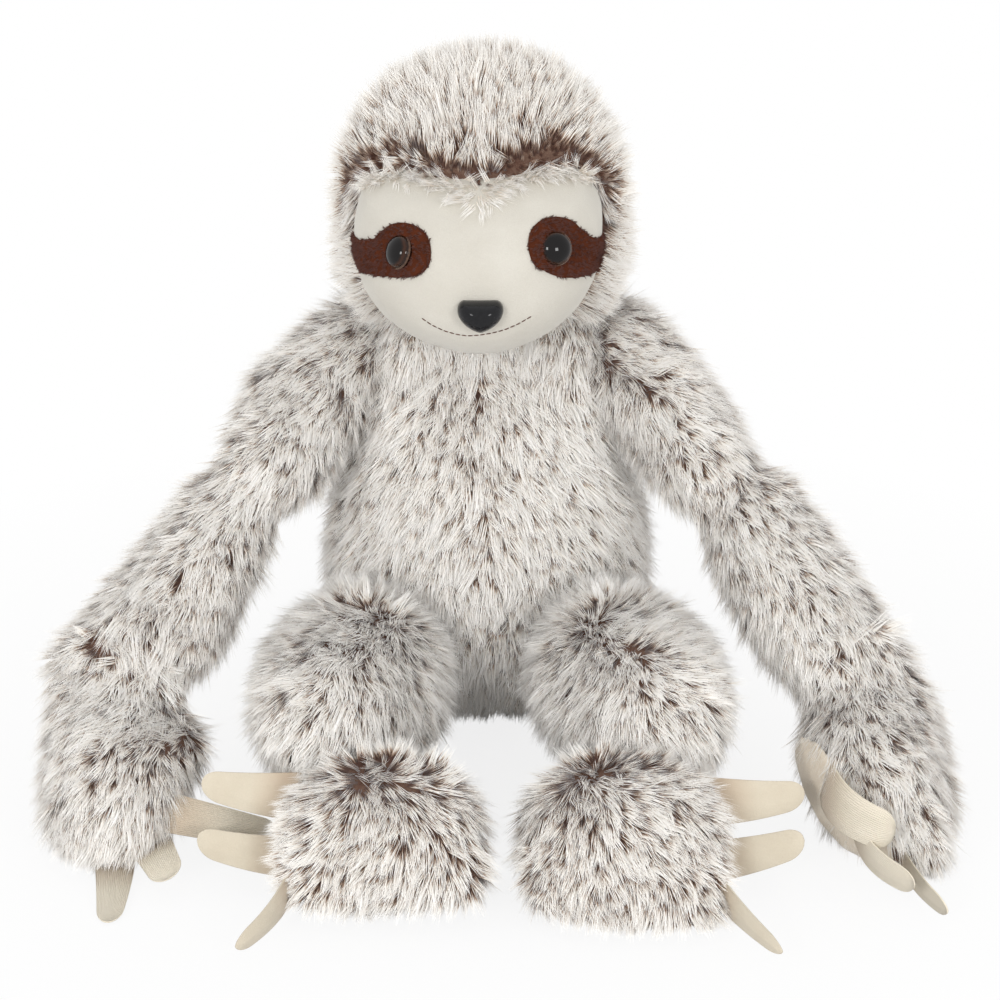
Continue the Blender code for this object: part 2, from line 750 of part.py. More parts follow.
def washer_at(name, centre, axis):
    """A lock washer, a disc with a hole that fits the stem."""
    disc = cylinder(centre, axis, WASHER_RADIUS, WASHER_THICKNESS, ROUND_SIDES * 2, "washer_plastic")
    disc.name = name
    hole = STEM_RADIUS + SEAM_GAP
    boolean(disc, cylinder(centre, axis, hole, WASHER_THICKNESS * 2))
    return shade(disc)


def build_eye(name, seat, axis):
    """A domed safety eye on a ribbed stem. seat is the middle of its flat back."""
    across, third = square_frame(axis, Vector((1, 0, 0)))
    radius = EYE_WIDTH / 2
    rings = []
    for i in range(2):
        centre = seat - axis * EYE_RIM * i
        rings.append(ellipse(centre, across, third, radius, radius, ROUND_SIDES))
    for degrees in (20.0, 40.0, 58.0, 75.0):
        angle = math.radians(degrees)
        centre = seat - axis * (EYE_RIM + (EYE_DOME_HEIGHT - EYE_RIM) * math.sin(angle))
        reach = radius * math.cos(angle)
        rings.append(ellipse(centre, across, third, reach, reach, ROUND_SIDES))
    eye = loft(name, rings, None, seat - axis * EYE_DOME_HEIGHT, "eye_plastic")
    stem = ribbed_stem(seat - axis * EYE_RIM / 2, axis, "eye_plastic")
    boolean(eye, stem, "UNION")
    return shade(eye)


def build_nose(seat, axis):
    """A soft triangle of a nose on a ribbed stem. seat is the middle of its flat back."""
    across, third = square_frame(axis, Vector((1, 0, 0)))
    up = third if third.z > 0 else -third
    half = [(x * NOSE_WIDTH, z * NOSE_HEIGHT) for x, z in NOSE_OUTLINE_SHARES]
    outline = half + [(-x, z) for x, z in reversed(half[1:-1])]
    rings = []
    for forward, scale in NOSE_DOME_SHARES:
        middle = seat - axis * NOSE_DOME_HEIGHT * forward
        rings.append([middle + (across * x + up * z) * scale for x, z in outline])
    nose = loft("nose", rings, None, seat - axis * NOSE_DOME_HEIGHT * NOSE_TIP_SHARE, "nose_plastic")
    stem = ribbed_stem(seat - axis * EYE_RIM / 2, axis, "nose_plastic")
    boolean(nose, stem, "UNION")
    return shade(nose)


def build_mouth(tree):
    """The embroidered mouth, one raised line of thread on the face."""
    steps = 14
    radius = MOUTH_THREAD / 2
    rings = []
    for i in range(steps + 1):
        share = 2 * i / steps - 1
        x = MOUTH_WIDTH / 2 * share
        z = FACE_CENTRE.z + FACE_HEIGHT * MOUTH_PLACE_SHARE - MOUTH_DROP * (1 - share**2)
        point, normal = on_face(tree, x, z)
        centre = point + normal * (radius + SEAM_GAP)
        along = Vector((1, 0, 2 * MOUTH_DROP * share / (MOUTH_WIDTH / 2))).normalized()
        across, third = square_frame(along, normal)
        rings.append(ellipse(centre, across, third, radius, radius, ROUND_SIDES // 2))
    return shade(loft("mouth_stitching", rings, finish="thread"))


def build_head():
    """The hood, face, filling, eyes, patches, nose, their washers and the mouth."""
    hood = hood_form("hood")
    boolean(hood, hood_form("inner", SKIN_THICKNESS))
    boolean(hood, face_form("face_cutter", SEAM_GAP))
    boolean(hood, ball(NECK_PIVOT, NECK_RADIUS + BALL_GAP))
    face = face_form("face_panel")
    tree = surface_of(face)
    boolean(face, face_form("face_inner", -FACE_CLOTH))
    boolean(face, hood_form("inner", SKIN_THICKNESS))
    boolean(face, ball(NECK_PIVOT, NECK_RADIUS + BALL_GAP))
    filling = hood_form("head_filling", SKIN_THICKNESS + SEAM_GAP * 2)
    boolean(filling, face_form("muzzle", -FACE_CLOTH - SEAM_GAP), "UNION")
    boolean(filling, ball(NECK_PIVOT, NECK_RADIUS + BALL_GAP))
    fixings = []
    for side_name, side in SIDE_SHARES.items():
        x = side * FACE_WIDTH / 2 * EYE_PLACE_SHARES[0]
        z = FACE_CENTRE.z + FACE_HEIGHT * EYE_PLACE_SHARES[1]
        point, normal = on_face(tree, x, z)
        lift = SEAM_GAP * 2 + PATCH_CLOTH
        patch = face_form(f"{side_name}_eye_patch", SEAM_GAP + PATCH_CLOTH, "patch_pile")
        boolean(patch, face_form("under_patch", SEAM_GAP))
        boolean(patch, patch_prism(side, point), "INTERSECT")
        cover = face_form("cover", SEAM_GAP * 2 + PATCH_CLOTH)
        boolean(cover, patch_prism(side, point, SEAM_GAP * 4), "INTERSECT")
        boolean(hood, cover)
        fixings.append((f"{side_name}_eye", point, normal, lift, patch))
    nose_point, nose_normal = on_face(tree, 0, FACE_CENTRE.z + FACE_HEIGHT * NOSE_PLACE_SHARE)
    fixings.append(("nose", nose_point, nose_normal, SEAM_GAP, None))
    for name, point, normal, lift, patch in fixings:
        inwards = -normal
        sagging = EYE_DOME_HEIGHT * EYE_SAGGING_SHARE
        seat = point - inwards * (lift + sagging)
        if patch is None:
            build_nose(seat, inwards)
        else:
            build_eye(name, seat, inwards)
        hole = STEM_RADIUS + SEAM_GAP
        reach = STEM_LENGTH * 2 + CUT_OVERRUN
        for layer in filter(None, (patch, face)):
            boolean(layer, cylinder(point, inwards, hole, reach))
        bulge = NOSE_BULGE if patch is None else sagging
        grip = point + inwards * (FACE_CLOTH + SEAM_GAP + bulge + WASHER_THICKNESS / 2)
        washer_at(f"{name}_washer", grip, inwards)
        pocket_length = WASHER_THICKNESS + SEAM_GAP * 2 + CUT_OVERRUN
        pocket = grip - inwards * (CUT_OVERRUN / 2)
        boolean(filling, cylinder(pocket, inwards, WASHER_RADIUS + SEAM_GAP, pocket_length, ROUND_SIDES * 2))
        boolean(filling, cylinder(point, inwards, hole, reach))
        if patch:
            shade(patch)
    build_mouth(tree)
    filling.data.materials.clear()
    filling.data.materials.append(finish_material("filling"))
    for body in (hood, face, filling):
        shade(body)


def pad_cutter(centre, normal, along, length, width, reach):
    """An oval bar through the palm or sole, from the member's middle outwards."""
    across, third = square_frame(normal, along)
    rings = []
    for out in (0.0, reach):
        rings.append(ellipse(
            centre + normal * out, across, third, length / 2, width / 2, start=PAD_TURN_SHARE,
        ))
    return loft("pad_cutter", rings)


def set_in_pad(name, member, form, centre, normal, along, length, width, reach):
    """Set a cloth pad into the member. form(inset) gives the member's shape at a depth."""
    pad = boolean(form(PAD_RECESS), floor_cutter())
    pad.name = name
    boolean(pad, boolean(form(PAD_RECESS + PAD_CLOTH), floor_cutter(PAD_CLOTH)))
    boolean(pad, pad_cutter(centre, normal, along, length, width, reach), "INTERSECT")
    recess = pad_cutter(centre, normal, along, length + SEAM_GAP * 2, width + SEAM_GAP * 2, reach)
    backing = PAD_CLOTH + SEAM_GAP
    boolean(recess, boolean(form(PAD_RECESS + backing), floor_cutter(backing)))
    boolean(member, recess)
    pad.data.materials.clear()
    pad.data.materials.append(finish_material("pad_cloth"))
    return pad


def build_claw(name, root, out, curl_towards, curl):
    """A flat padded claw. root is the middle of its sewn end, where it hinges."""
    normal, bend_axis = square_frame(out, curl_towards)
    half_width = CLAW_WIDTH / 2
    half_thickness = CLAW_THICKNESS / 2
    rings = []
    for degrees in (20.0, 60.0):
        angle = math.radians(degrees)
        centre = root - out * half_thickness * math.cos(angle)
        thick = half_thickness * math.sin(angle)
        rings.append([
            centre + bend_axis * half_width * CLAW_WIDTH_SHARES[0][1] * x + normal * thick * y
            for x, y in CLAW_SECTION_SHARES
        ])
    at = root.copy()
    last = 0.0
    sections = zip(CLAW_WIDTH_SHARES, CLAW_PULP_SHARES)
    for (along, wide), (_, thick) in sections:
        step_turn = Matrix.Rotation(math.radians(curl) * (along + last) / 2, 3, bend_axis)
        turn = Matrix.Rotation(math.radians(curl) * along, 3, bend_axis)
        at = at + step_turn @ out * CLAW_LENGTH * (along - last)
        last = along
        rings.append([
            at + turn @ (bend_axis * half_width * wide * x + normal * half_thickness * thick * y)
            for x, y in CLAW_SECTION_SHARES
        ])
    tip = at + turn @ out * CLAW_LENGTH * (1 - last)
    claw = shade(loft(name, rings, None, tip, "claw_cloth"))
    place_origin(claw, root, Matrix((bend_axis, out, bend_axis.cross(out))).transposed())
    return claw


def claw_slot(root, out, bend_axis):
    """The slot of a claw's seam, round behind the root and flaring to let the claw swing."""
    normal = bend_axis.cross(out)
    half = CLAW_THICKNESS / 2 + CLAW_SOCKET_GAP
    flare = half + CLAW_SLOT_REACH * math.tan(math.radians(CLAW_SWING_DEGREES + 2.0))
    section = [out * CLAW_SLOT_REACH + normal * flare]
    for degrees in (90.0, 135.0, 180.0, 225.0, 270.0):
        angle = math.radians(degrees)
        section.append(out * half * math.cos(angle) + normal * half * math.sin(angle))
    section.append(out * CLAW_SLOT_REACH - normal * flare)
    reach = bend_axis * (CLAW_WIDTH / 2 + CLAW_SOCKET_GAP)
    return loft("slot", [[root + reach * way + point for point in section] for way in (-1, 1)])


def sew_claws(member, whole, side, prefix, claws, middle):
    """Three claws, each with its root in a slot of the seam. whole is the uncut member's surface."""
    for label, root_shares, out_shares, curl_shares, curl in claws:
        from_middle = lying(side, root_shares)
        root, _, _, _ = whole.ray_cast(middle + from_middle * FOOT_LENGTH, -from_middle)
        out = lying(side, out_shares)
        towards = lying(side, curl_shares)
        _, bend_axis = square_frame(out, towards)
        boolean(member, claw_slot(root, out, bend_axis))
        build_claw(f"{prefix}_{label}_claw", root, out, towards, curl)


def build_arm(side_name):
    """Upper arm, forearm and hand, with the palm pad and three claws."""
    side = SIDE_SHARES[side_name]
    (shoulder, elbow, wrist), (_, down_fore, along) = arm_pivots(side_name)
    arm_size = (ARM_WIDTH, ARM_WIDTH)
    upper = upper_arm_form(side_name)
    boolean(upper, ball(elbow, ELBOW_RADIUS + BALL_GAP))
    shares = FOREARM_SHARES + (cup_section(FOREARM_LENGTH, WRIST_RADIUS, arm_size),)
    fore = stuffed_member(
        f"{side_name}_forearm", elbow, down_fore, Vector((0, -1, 0)),
        ELBOW_RADIUS, FOREARM_LENGTH, arm_size, shares,
    )
    boolean(fore, ball(wrist, WRIST_RADIUS + BALL_GAP))
    palm, across = square_frame(along, lying(side, PALM_FACING_SHARES[side_name]))

    def hand_form(inset=0.0):
        return stuffed_member(
            f"{side_name}_hand", wrist, along, across, WRIST_RADIUS, HAND_LENGTH,
            (HAND_WIDTH, HAND_THICKNESS), HAND_SHARES, inset, 1.0,
        )

    hand = hand_form()
    whole = surface_of(hand)
    pad = set_in_pad(
        f"{side_name}_palm_pad", hand, hand_form, wrist + along * HAND_LENGTH * PALM_PLACE_SHARE, palm, along,
        PALM_PAD_LENGTH, PALM_PAD_WIDTH, HAND_WIDTH,
    )
    boolean(hand, floor_cutter())
    middle = wrist + along * HAND_LENGTH / 2
    sew_claws(hand, whole, side, f"{side_name}_hand", HAND_CLAW_SHARES[side_name], middle)
    for body, pivot in ((upper, shoulder), (fore, elbow), (hand, wrist), (pad, wrist)):
        shade(body)
        place_origin(body, pivot)


def build_leg(side_name):
    """Leg and foot, with the sole pad and three claws."""
    side = SIDE_SHARES[side_name]
    hip, ankle, _, centre = leg_pivots(side_name)
    leg = leg_form(side_name)
    toe_turn = math.radians(FOOT_TURN_OUT_DEGREES[side_name])
    along = Vector((side * math.cos(toe_turn), 0, math.sin(toe_turn))).normalized()
    lean = math.radians(FOOT_LEAN_BACK_DEGREES)
    sole, across = square_frame(along, Vector((0, math.cos(lean), -math.sin(lean))))
    size = (FOOT_WIDTH, FOOT_THICKNESS)

    def foot_form(inset=0.0):
        sections = []
        for share, wide, thick in FOOT_SHARES:
            half_width = shrunk_by(size[0] / 2 * wide, inset)
            half_thickness = shrunk_by(size[1] / 2 * thick, inset)
            place = centre + along * share * (FOOT_LENGTH - inset * 2)
            sections.append(ellipse(place, across, sole, half_width, half_thickness))
        reach = along * (FOOT_LENGTH / 2 - inset)
        return loft(f"{side_name}_foot", sections, centre - reach, centre + reach)

    foot = foot_form()
    whole = surface_of(foot)
    pad = set_in_pad(
        f"{side_name}_sole_pad", foot, foot_form, centre + along * FOOT_LENGTH * SOLE_PLACE_SHARE, sole, along,
        SOLE_PAD_LENGTH, SOLE_PAD_WIDTH, FOOT_LENGTH,
    )
    boolean(foot, floor_cutter())
    cutter = swept(leg_form(side_name, -BALL_GAP), ankle, LEG_AXIS, *FOOT_CLEAR_DEGREES)
    boolean(foot, cutter, keep_cutter=True)
    boolean(pad, cutter)
    sew_claws(foot, whole, side, f"{side_name}_foot", FOOT_CLAW_SHARES[side_name], centre)
    for body, pivot in ((leg, hip), (foot, ankle), (pad, ankle)):
        shade(body)
        place_origin(body, pivot)


def roll_head():
    """Tip the head a little to one side about the neck."""
    turn = Matrix.Rotation(math.radians(-HEAD_ROLL_DEGREES), 4, "Y")
    roll = Matrix.Translation(NECK_PIVOT) @ turn @ Matrix.Translation(-NECK_PIVOT)
    for name in HEAD_PIECES:
        bpy.data.objects[name].data.transform(roll)
        place_origin(bpy.data.objects[name], NECK_PIVOT)


def main():
    """Build every piece in place."""
    clear_scene()
    build_torso()
    build_head()
    roll_head()
    for side_name in SIDE_SHARES:
        build_arm(side_name)
        build_leg(side_name)


main()
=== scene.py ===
"""Looks of a sitting plush sloth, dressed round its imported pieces.

The toy has a skin of long frosted pile over stuffed members, a short-pile face with two dark
patches, glossy eyes and nose, brushed pads and flat fabric claws. Metres, +Z up, the face
towards -Y. Left and right are the toy's own.
"""

import dataclasses
import enum
import json
import logging
import math
from dataclasses import dataclass
from typing import Callable, Sequence

import bmesh
import bpy
import numpy as np
from mathutils import Matrix, Vector, noise
from mathutils.bvhtree import BVHTree

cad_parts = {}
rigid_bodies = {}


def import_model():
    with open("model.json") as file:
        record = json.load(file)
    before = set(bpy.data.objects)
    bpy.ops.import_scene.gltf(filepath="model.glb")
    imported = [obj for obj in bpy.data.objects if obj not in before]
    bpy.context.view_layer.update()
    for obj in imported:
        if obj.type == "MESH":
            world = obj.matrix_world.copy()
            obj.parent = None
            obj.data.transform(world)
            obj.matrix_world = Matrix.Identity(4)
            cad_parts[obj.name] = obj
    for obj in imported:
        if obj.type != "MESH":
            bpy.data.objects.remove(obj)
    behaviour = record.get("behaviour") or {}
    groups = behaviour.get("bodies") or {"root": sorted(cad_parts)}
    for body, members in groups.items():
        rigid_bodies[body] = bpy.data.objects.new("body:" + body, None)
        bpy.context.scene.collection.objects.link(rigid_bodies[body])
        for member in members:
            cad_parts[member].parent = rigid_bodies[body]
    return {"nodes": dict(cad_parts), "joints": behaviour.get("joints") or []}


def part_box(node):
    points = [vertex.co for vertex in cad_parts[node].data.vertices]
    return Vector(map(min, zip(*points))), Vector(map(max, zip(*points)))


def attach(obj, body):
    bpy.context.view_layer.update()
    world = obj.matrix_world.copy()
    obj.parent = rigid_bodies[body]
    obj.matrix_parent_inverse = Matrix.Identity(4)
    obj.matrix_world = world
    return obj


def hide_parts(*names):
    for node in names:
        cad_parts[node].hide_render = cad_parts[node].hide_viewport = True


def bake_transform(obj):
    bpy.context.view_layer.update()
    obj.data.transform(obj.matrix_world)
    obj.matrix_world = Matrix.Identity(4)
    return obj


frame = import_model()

LOG = logging.getLogger("sloth")
FUR_MAP = "OFBake"
NOISE_SEED = 1
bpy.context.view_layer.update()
REST_LENGTH = 0.0145
FAR_OUT = 0.02
FULL_TURN = 2 * math.pi

Thing = bpy.types.Object
Colour = tuple[float, float, float]
Pixel = tuple[float, float]
Pixels = Sequence[Pixel]
Ring = Sequence[bmesh.types.BMVert]


class Side(enum.Enum):
    """One of the toy's own sides."""

    RIGHT = "right"
    LEFT = "left"

    @property
    def way(self) -> float:
        """Which way along X the side lies."""
        return -1.0 if self is Side.RIGHT else 1.0


class ClawCloth(enum.Enum):
    """The cloth that a claw shows on the face towards which it curls."""

    RIBBED = "ribbed"
    PILE = "pile"


def joint_row(name: str) -> dict:
    """Give what the frame says of a joint."""
    return next(joint for joint in frame["joints"] if joint["name"] == name)


def joint_place(name: str) -> Vector:
    """Give a joint's pivot in the frame of the part."""
    return Vector(joint_row(name)["pos_m"])


def joint_axis(name: str) -> Vector:
    """Give a joint's axis as a unit vector."""
    return Vector(joint_row(name)["axis"]).normalized()


def node_points(name: str) -> np.ndarray:
    """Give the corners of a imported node."""
    return points_of(frame["nodes"][name].data)


def box_middle(name: str) -> Vector:
    """Give the middle of a node's box."""
    low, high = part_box(name)
    return (low + high) / 2


def box_place(name: str, shares: Sequence[float]) -> Vector:
    """Give a point by shares of a node's box.

    Args:
        name: The node's name.
        shares: Shares of the box along X, Y and Z.

    Returns:
        The point.
    """
    low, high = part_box(name)
    return Vector(a + (b - a) * share for a, b, share in zip(low, high, shares))


def points_of(mesh: bpy.types.Mesh) -> np.ndarray:
    """Give a mesh's points as an array."""
    flat = np.empty(len(mesh.vertices) * 3, np.float32)
    mesh.vertices.foreach_get("co", flat)
    return flat.reshape(-1, 3).astype(float)


def normals_of(mesh: bpy.types.Mesh) -> np.ndarray:
    """Give a mesh's point normals as an array."""
    flat = np.empty(len(mesh.vertices) * 3, np.float32)
    mesh.vertex_normals.foreach_get("vector", flat)
    return flat.reshape(-1, 3).astype(float)


def put_points(mesh: bpy.types.Mesh, points: np.ndarray) -> None:
    """Write the points back to their mesh."""
    mesh.vertices.foreach_set("co", points.astype(np.float32).ravel())
    mesh.update()


def relaxed(mesh: bpy.types.Mesh, points: np.ndarray, rounds: int, strength: float = 0.5) -> np.ndarray:
    """Smooth points towards the mean of their neighbours.

    Args:
        mesh: The mesh that joins the points.
        points: The points to smooth.
        rounds: How many times to smooth them.
        strength: The share of the way to the mean in each round.

    Returns:
        The smoothed points.
    """
    flat = np.empty(len(mesh.edges) * 2, np.int32)
    mesh.edges.foreach_get("vertices", flat)
    ends = flat.reshape(-1, 2)
    count = np.bincount(ends.ravel(), minlength=len(points)).astype(float)[:, None]
    for _ in range(rounds):
        total = np.zeros_like(points)
        for axis in range(3):
            total[:, axis] = np.bincount(ends[:, 0], points[ends[:, 1], axis], len(points))
            total[:, axis] += np.bincount(ends[:, 1], points[ends[:, 0], axis], len(points))
        points = points + (total / np.maximum(count, 1) - points) * strength
    return points


def object_from(name: str, bm: bmesh.types.BMesh, smooth: bool = True) -> Thing:
    """Make an object that holds the shape in bm, and free it.

    Args:
        name: The object's name.
        bm: The shape.
        smooth: Whether its faces are shaded smooth.

    Returns:
        The new object, in the scene.
    """
    mesh = bpy.data.meshes.new(name)
    bm.to_mesh(mesh)
    bm.free()
    if smooth:
        mesh.shade_smooth()
    made = bpy.data.objects.new(name, mesh)
    bpy.context.scene.collection.objects.link(made)
    return made


def settled(made: Thing) -> Thing:
    """Apply an object's modifiers, so that it is a plain mesh.

    Args:
        made: The object with its modifiers.

    Returns:
        The same object.
    """
    bpy.context.view_layer.update()
    graph = bpy.context.evaluated_depsgraph_get()
    plain = bpy.data.meshes.new_from_object(made.evaluated_get(graph), depsgraph=graph)
    made.modifiers.clear()
    made.data = plain
    return made


def dressed(made: Thing, material: bpy.types.Material) -> Thing:
    """Give an object one material."""
    made.data.materials.clear()
    made.data.materials.append(material)
    return made


def drop_attributes(mesh: bpy.types.Mesh, names: Sequence[str]) -> None:
    """Remove a mesh's attributes of these names."""
    for name in names:
        layer = mesh.attributes.get(name)
        if layer is not None:
            mesh.attributes.remove(layer)


def fill_sockets(modifier: bpy.types.Modifier, given: dict[str, object]) -> None:
    """Set a node modifier's inputs by their names."""
    for item in modifier.node_group.interface.items_tree:
        if item.item_type == "SOCKET" and item.in_out == "INPUT" and item.name in given:
            modifier[item.identifier] = given[item.name]


def tree_of(made: Thing) -> BVHTree:
    """Give a tree that finds points on an object's surface."""
    graph = bpy.context.evaluated_depsgraph_get()
    return BVHTree.FromObject(made, graph)


def heights_over(tree: BVHTree, points: np.ndarray, reach: float) -> np.ndarray:
    """Measure how far points lie outside a closed surface.

    Args:
        tree: The surface.
        points: The points to measure.
        reach: Points further away than this count as this far outside.

    Returns:
        The distances, less than zero inside.
    """
    found = np.full(len(points), reach)
    for i, point in enumerate(points):
        near, normal, _, distance = tree.find_nearest(Vector(point), reach)
        if near is not None:
            found[i] = distance if (Vector(point) - near).dot(normal) > 0 else -distance
    return found


def hull_into(bm: bmesh.types.BMesh, points: np.ndarray) -> None:
    """Add the convex hull of points to a shape."""
    part = bmesh.new()
    for point in points:
        part.verts.new(point)
    hull = bmesh.ops.convex_hull(part, input=part.verts)
    spare = {v for v in hull["geom_interior"] + hull["geom_unused"] if isinstance(v, bmesh.types.BMVert)}
    bmesh.ops.delete(part, geom=list(spare), context="VERTS")
    bmesh.ops.recalc_face_normals(part, faces=part.faces)
    mesh = bpy.data.meshes.new("hull")
    part.to_mesh(mesh)
    part.free()
    bm.from_mesh(mesh)
    bpy.data.meshes.remove(mesh)


def ball_points() -> np.ndarray:
    """Give points spread over a ball of radius one."""
    bm = bmesh.new()
    bmesh.ops.create_icosphere(bm, subdivisions=3, radius=1.0)
    points = np.array([vertex.co for vertex in bm.verts], float)
    bm.free()
    return points


def bridge(bm: bmesh.types.BMesh, first: Ring, second: Ring) -> None:
    """Join two rings of as many corners with faces."""
    for i in range(len(first)):
        j = (i + 1) % len(first)
        bm.faces.new((first[i], first[j], second[j], second[i]))


def fan(bm: bmesh.types.BMesh, ring: Ring, hub: bmesh.types.BMVert) -> None:
    """Close a ring with faces that meet in one corner."""
    for i in range(len(ring)):
        bm.faces.new((ring[i], ring[(i + 1) % len(ring)], hub))


def rotation_between(primary: Vector, secondary: Vector) -> Matrix:
    """Give the turn whose columns are secondary made square, the third axis, and primary."""
    first = (secondary - primary * secondary.dot(primary)).normalized()
    return Matrix((first, primary.cross(first), primary)).transposed()


class Shader:
    """A short way to build a node tree."""

    def __init__(self, tree: bpy.types.NodeTree) -> None:
        """Start on an empty tree."""
        self.tree = tree
        tree.nodes.clear()

    def add(self, kind: str, settings: dict | None = None, **inputs: object) -> bpy.types.Node:
        """Add a node.

        Args:
            kind: The node's type.
            settings: The node's own properties.
            **inputs: Values or sockets for its inputs, by name, with _ for a space.

        Returns:
            The node.
        """
        node = self.tree.nodes.new(kind)
        for key, value in (settings or {}).items():
            setattr(node, key, value)
        self.set(node, **inputs)
        return node

    def set(self, node: bpy.types.Node, **inputs: object) -> None:
        """Feed a node's inputs by name, with _ for a space."""
        for key, value in inputs.items():
            self.feed(node.inputs[key.replace("_", " ")], value)

    def feed(self, socket: bpy.types.NodeSocket, value: object) -> None:
        """Link a socket to another, or set its value."""
        if isinstance(value, bpy.types.NodeSocket):
            self.tree.links.new(value, socket)
        else:
            socket.default_value = value

    def math(
        self, operation: str, first: object, second: object = 0.0, third: object = 0.0
    ) -> bpy.types.NodeSocket:
        """Add a maths node.

        Args:
            operation: The operation's name.
            first: The first value or socket.
            second: The second one.
            third: The third one.

        Returns:
            The result's socket.
        """
        node = self.tree.nodes.new("ShaderNodeMath")
        node.operation = operation
        for socket, value in zip(node.inputs, (first, second, third)):
            self.feed(socket, value)
        return node.outputs[0]

    def mix(self, factor: object, first: object, second: object, blend: str = "MIX") -> bpy.types.NodeSocket:
        """Mix two colours.

        Args:
            factor: The share of the second one.
            first: The first colour or socket.
            second: The second one.
            blend: How they are mixed.

        Returns:
            The result's socket.
        """
        node = self.tree.nodes.new("ShaderNodeMix")
        node.data_type = "RGBA"
        node.blend_type = blend
        self.feed(node.inputs[0], factor)
        self.feed(node.inputs[6], first)
        self.feed(node.inputs[7], second)
        return node.outputs[2]

    def ramp(self, factor: object, stops: Sequence[tuple[float, Sequence[float]]]) -> bpy.types.NodeSocket:
        """Turn a value into a colour.

        Args:
            factor: The value's socket.
            stops: Places from 0 to 1, each with its colour.

        Returns:
            The colour's socket.
        """
        node = self.tree.nodes.new("ShaderNodeValToRGB")
        self.feed(node.inputs[0], factor)
        elements = node.color_ramp.elements
        while len(elements) < len(stops):
            elements.new(1.0)
        for element, (place, colour) in zip(elements, stops):
            element.position = place
            element.color = (*colour[:3], 1.0)
        return node.outputs[0]


def group_of(
    name: str, inputs: Sequence[tuple[str, str, object]], outputs: Sequence[tuple[str, str]]
) -> tuple[bpy.types.NodeTree, Shader, bpy.types.Node, bpy.types.Node]:
    """Start a shader group.

    Args:
        name: The group's name.
        inputs: Each input's name, socket type and default.
        outputs: Each output's name and socket type.

    Returns:
        The group, its builder, and its input and output nodes.
    """
    group = bpy.data.node_groups.new(name, "ShaderNodeTree")
    for label, kind, default in inputs:
        socket = group.interface.new_socket(label, in_out="INPUT", socket_type=kind)
        socket.default_value = default
    for label, kind in outputs:
        group.interface.new_socket(label, in_out="OUTPUT", socket_type=kind)
    shader = Shader(group)
    return group, shader, shader.add("NodeGroupInput"), shader.add("NodeGroupOutput")


def mottle_group() -> bpy.types.NodeTree:
    """Make or find the group that varies a colour over the surface, in large and small spots."""
    found = bpy.data.node_groups.get("mottle")
    if found:
        return found
    group, shader, ins, outs = group_of(
        "mottle",
        (
            ("Colour", "NodeSocketColor", (0.5, 0.5, 0.5, 1.0)),
            ("Shade", "NodeSocketColor", (0.4, 0.4, 0.4, 1.0)),
            ("Large", "NodeSocketFloat", 40.0),
            ("Small", "NodeSocketFloat", 900.0),
            ("Amount", "NodeSocketFloat", 0.5),
        ),
        (("Colour", "NodeSocketColor"), ("Grain", "NodeSocketFloat")),
    )
    place = shader.add("ShaderNodeTexCoord").outputs["Object"]
    large = shader.add("ShaderNodeTexNoise", Vector=place, Scale=ins.outputs["Large"], Detail=3.0)
    small = shader.add("ShaderNodeTexNoise", Vector=place, Scale=ins.outputs["Small"], Detail=2.0)
    both = shader.math("MULTIPLY_ADD", large.outputs[0], 0.6, shader.math("MULTIPLY", small.outputs[0], 0.4))
    spread = shader.math("MULTIPLY_ADD", shader.math("SUBTRACT", both, 0.5), 3.0, 0.5)
    clipped = shader.add("ShaderNodeClamp", Value=spread).outputs[0]
    factor = shader.math("MULTIPLY", clipped, ins.outputs["Amount"])
    shader.feed(outs.inputs["Colour"], shader.mix(factor, ins.outputs["Colour"], ins.outputs["Shade"]))
    shader.feed(outs.inputs["Grain"], small.outputs[0])
    return group


def pile_group() -> bpy.types.NodeTree:
    """Make or find the group whose height is a short, brushed pile."""
    found = bpy.data.node_groups.get("short_pile")
    if found:
        return found
    group, shader, ins, outs = group_of(
        "short_pile",
        (
            ("Fineness", "NodeSocketFloat", 1500.0),
            ("Brushing", "NodeSocketFloat", 60.0),
        ),
        (("Height", "NodeSocketFloat"),),
    )
    place = shader.add("ShaderNodeTexCoord").outputs["Object"]
    fine = shader.add("ShaderNodeTexNoise", Vector=place, Scale=ins.outputs["Fineness"], Detail=2.0)
    brushed = shader.add("ShaderNodeTexNoise", Vector=place, Scale=ins.outputs["Brushing"], Detail=4.0)
    waves = shader.math("MULTIPLY", brushed.outputs[0], 0.5)
    height = shader.math("MULTIPLY_ADD", fine.outputs[0], 0.7, waves)
    shader.feed(outs.inputs["Height"], height)
    return group


def principled(name: str) -> tuple[bpy.types.Material, Shader, bpy.types.Node]:
    """Start a material.

    Args:
        name: The material's name.

    Returns:
        The material, its builder and its Principled shader.
    """
    material = bpy.data.materials.new(name)
    material.use_nodes = True
    shader = Shader(material.node_tree)
    surface = shader.add("ShaderNodeBsdfPrincipled")
    shader.add("ShaderNodeOutputMaterial", Surface=surface.outputs[0])
    return material, shader, surface


class Finish:
    """What a surface is made of. Its material is built once."""

    name: str

    def material(self) -> bpy.types.Material:
        """Find or build the material."""
        found = bpy.data.materials.get(self.name)
        if found:
            return found
        material, shader, surface = principled(self.name)
        self.paint(shader, surface)
        return material

    def paint(self, shader: Shader, surface: bpy.types.Node) -> None:
        """Lay out the nodes that feed the surface.

        Args:
            shader: The material's builder.
            surface: Its Principled shader.
        """
        raise NotImplementedError


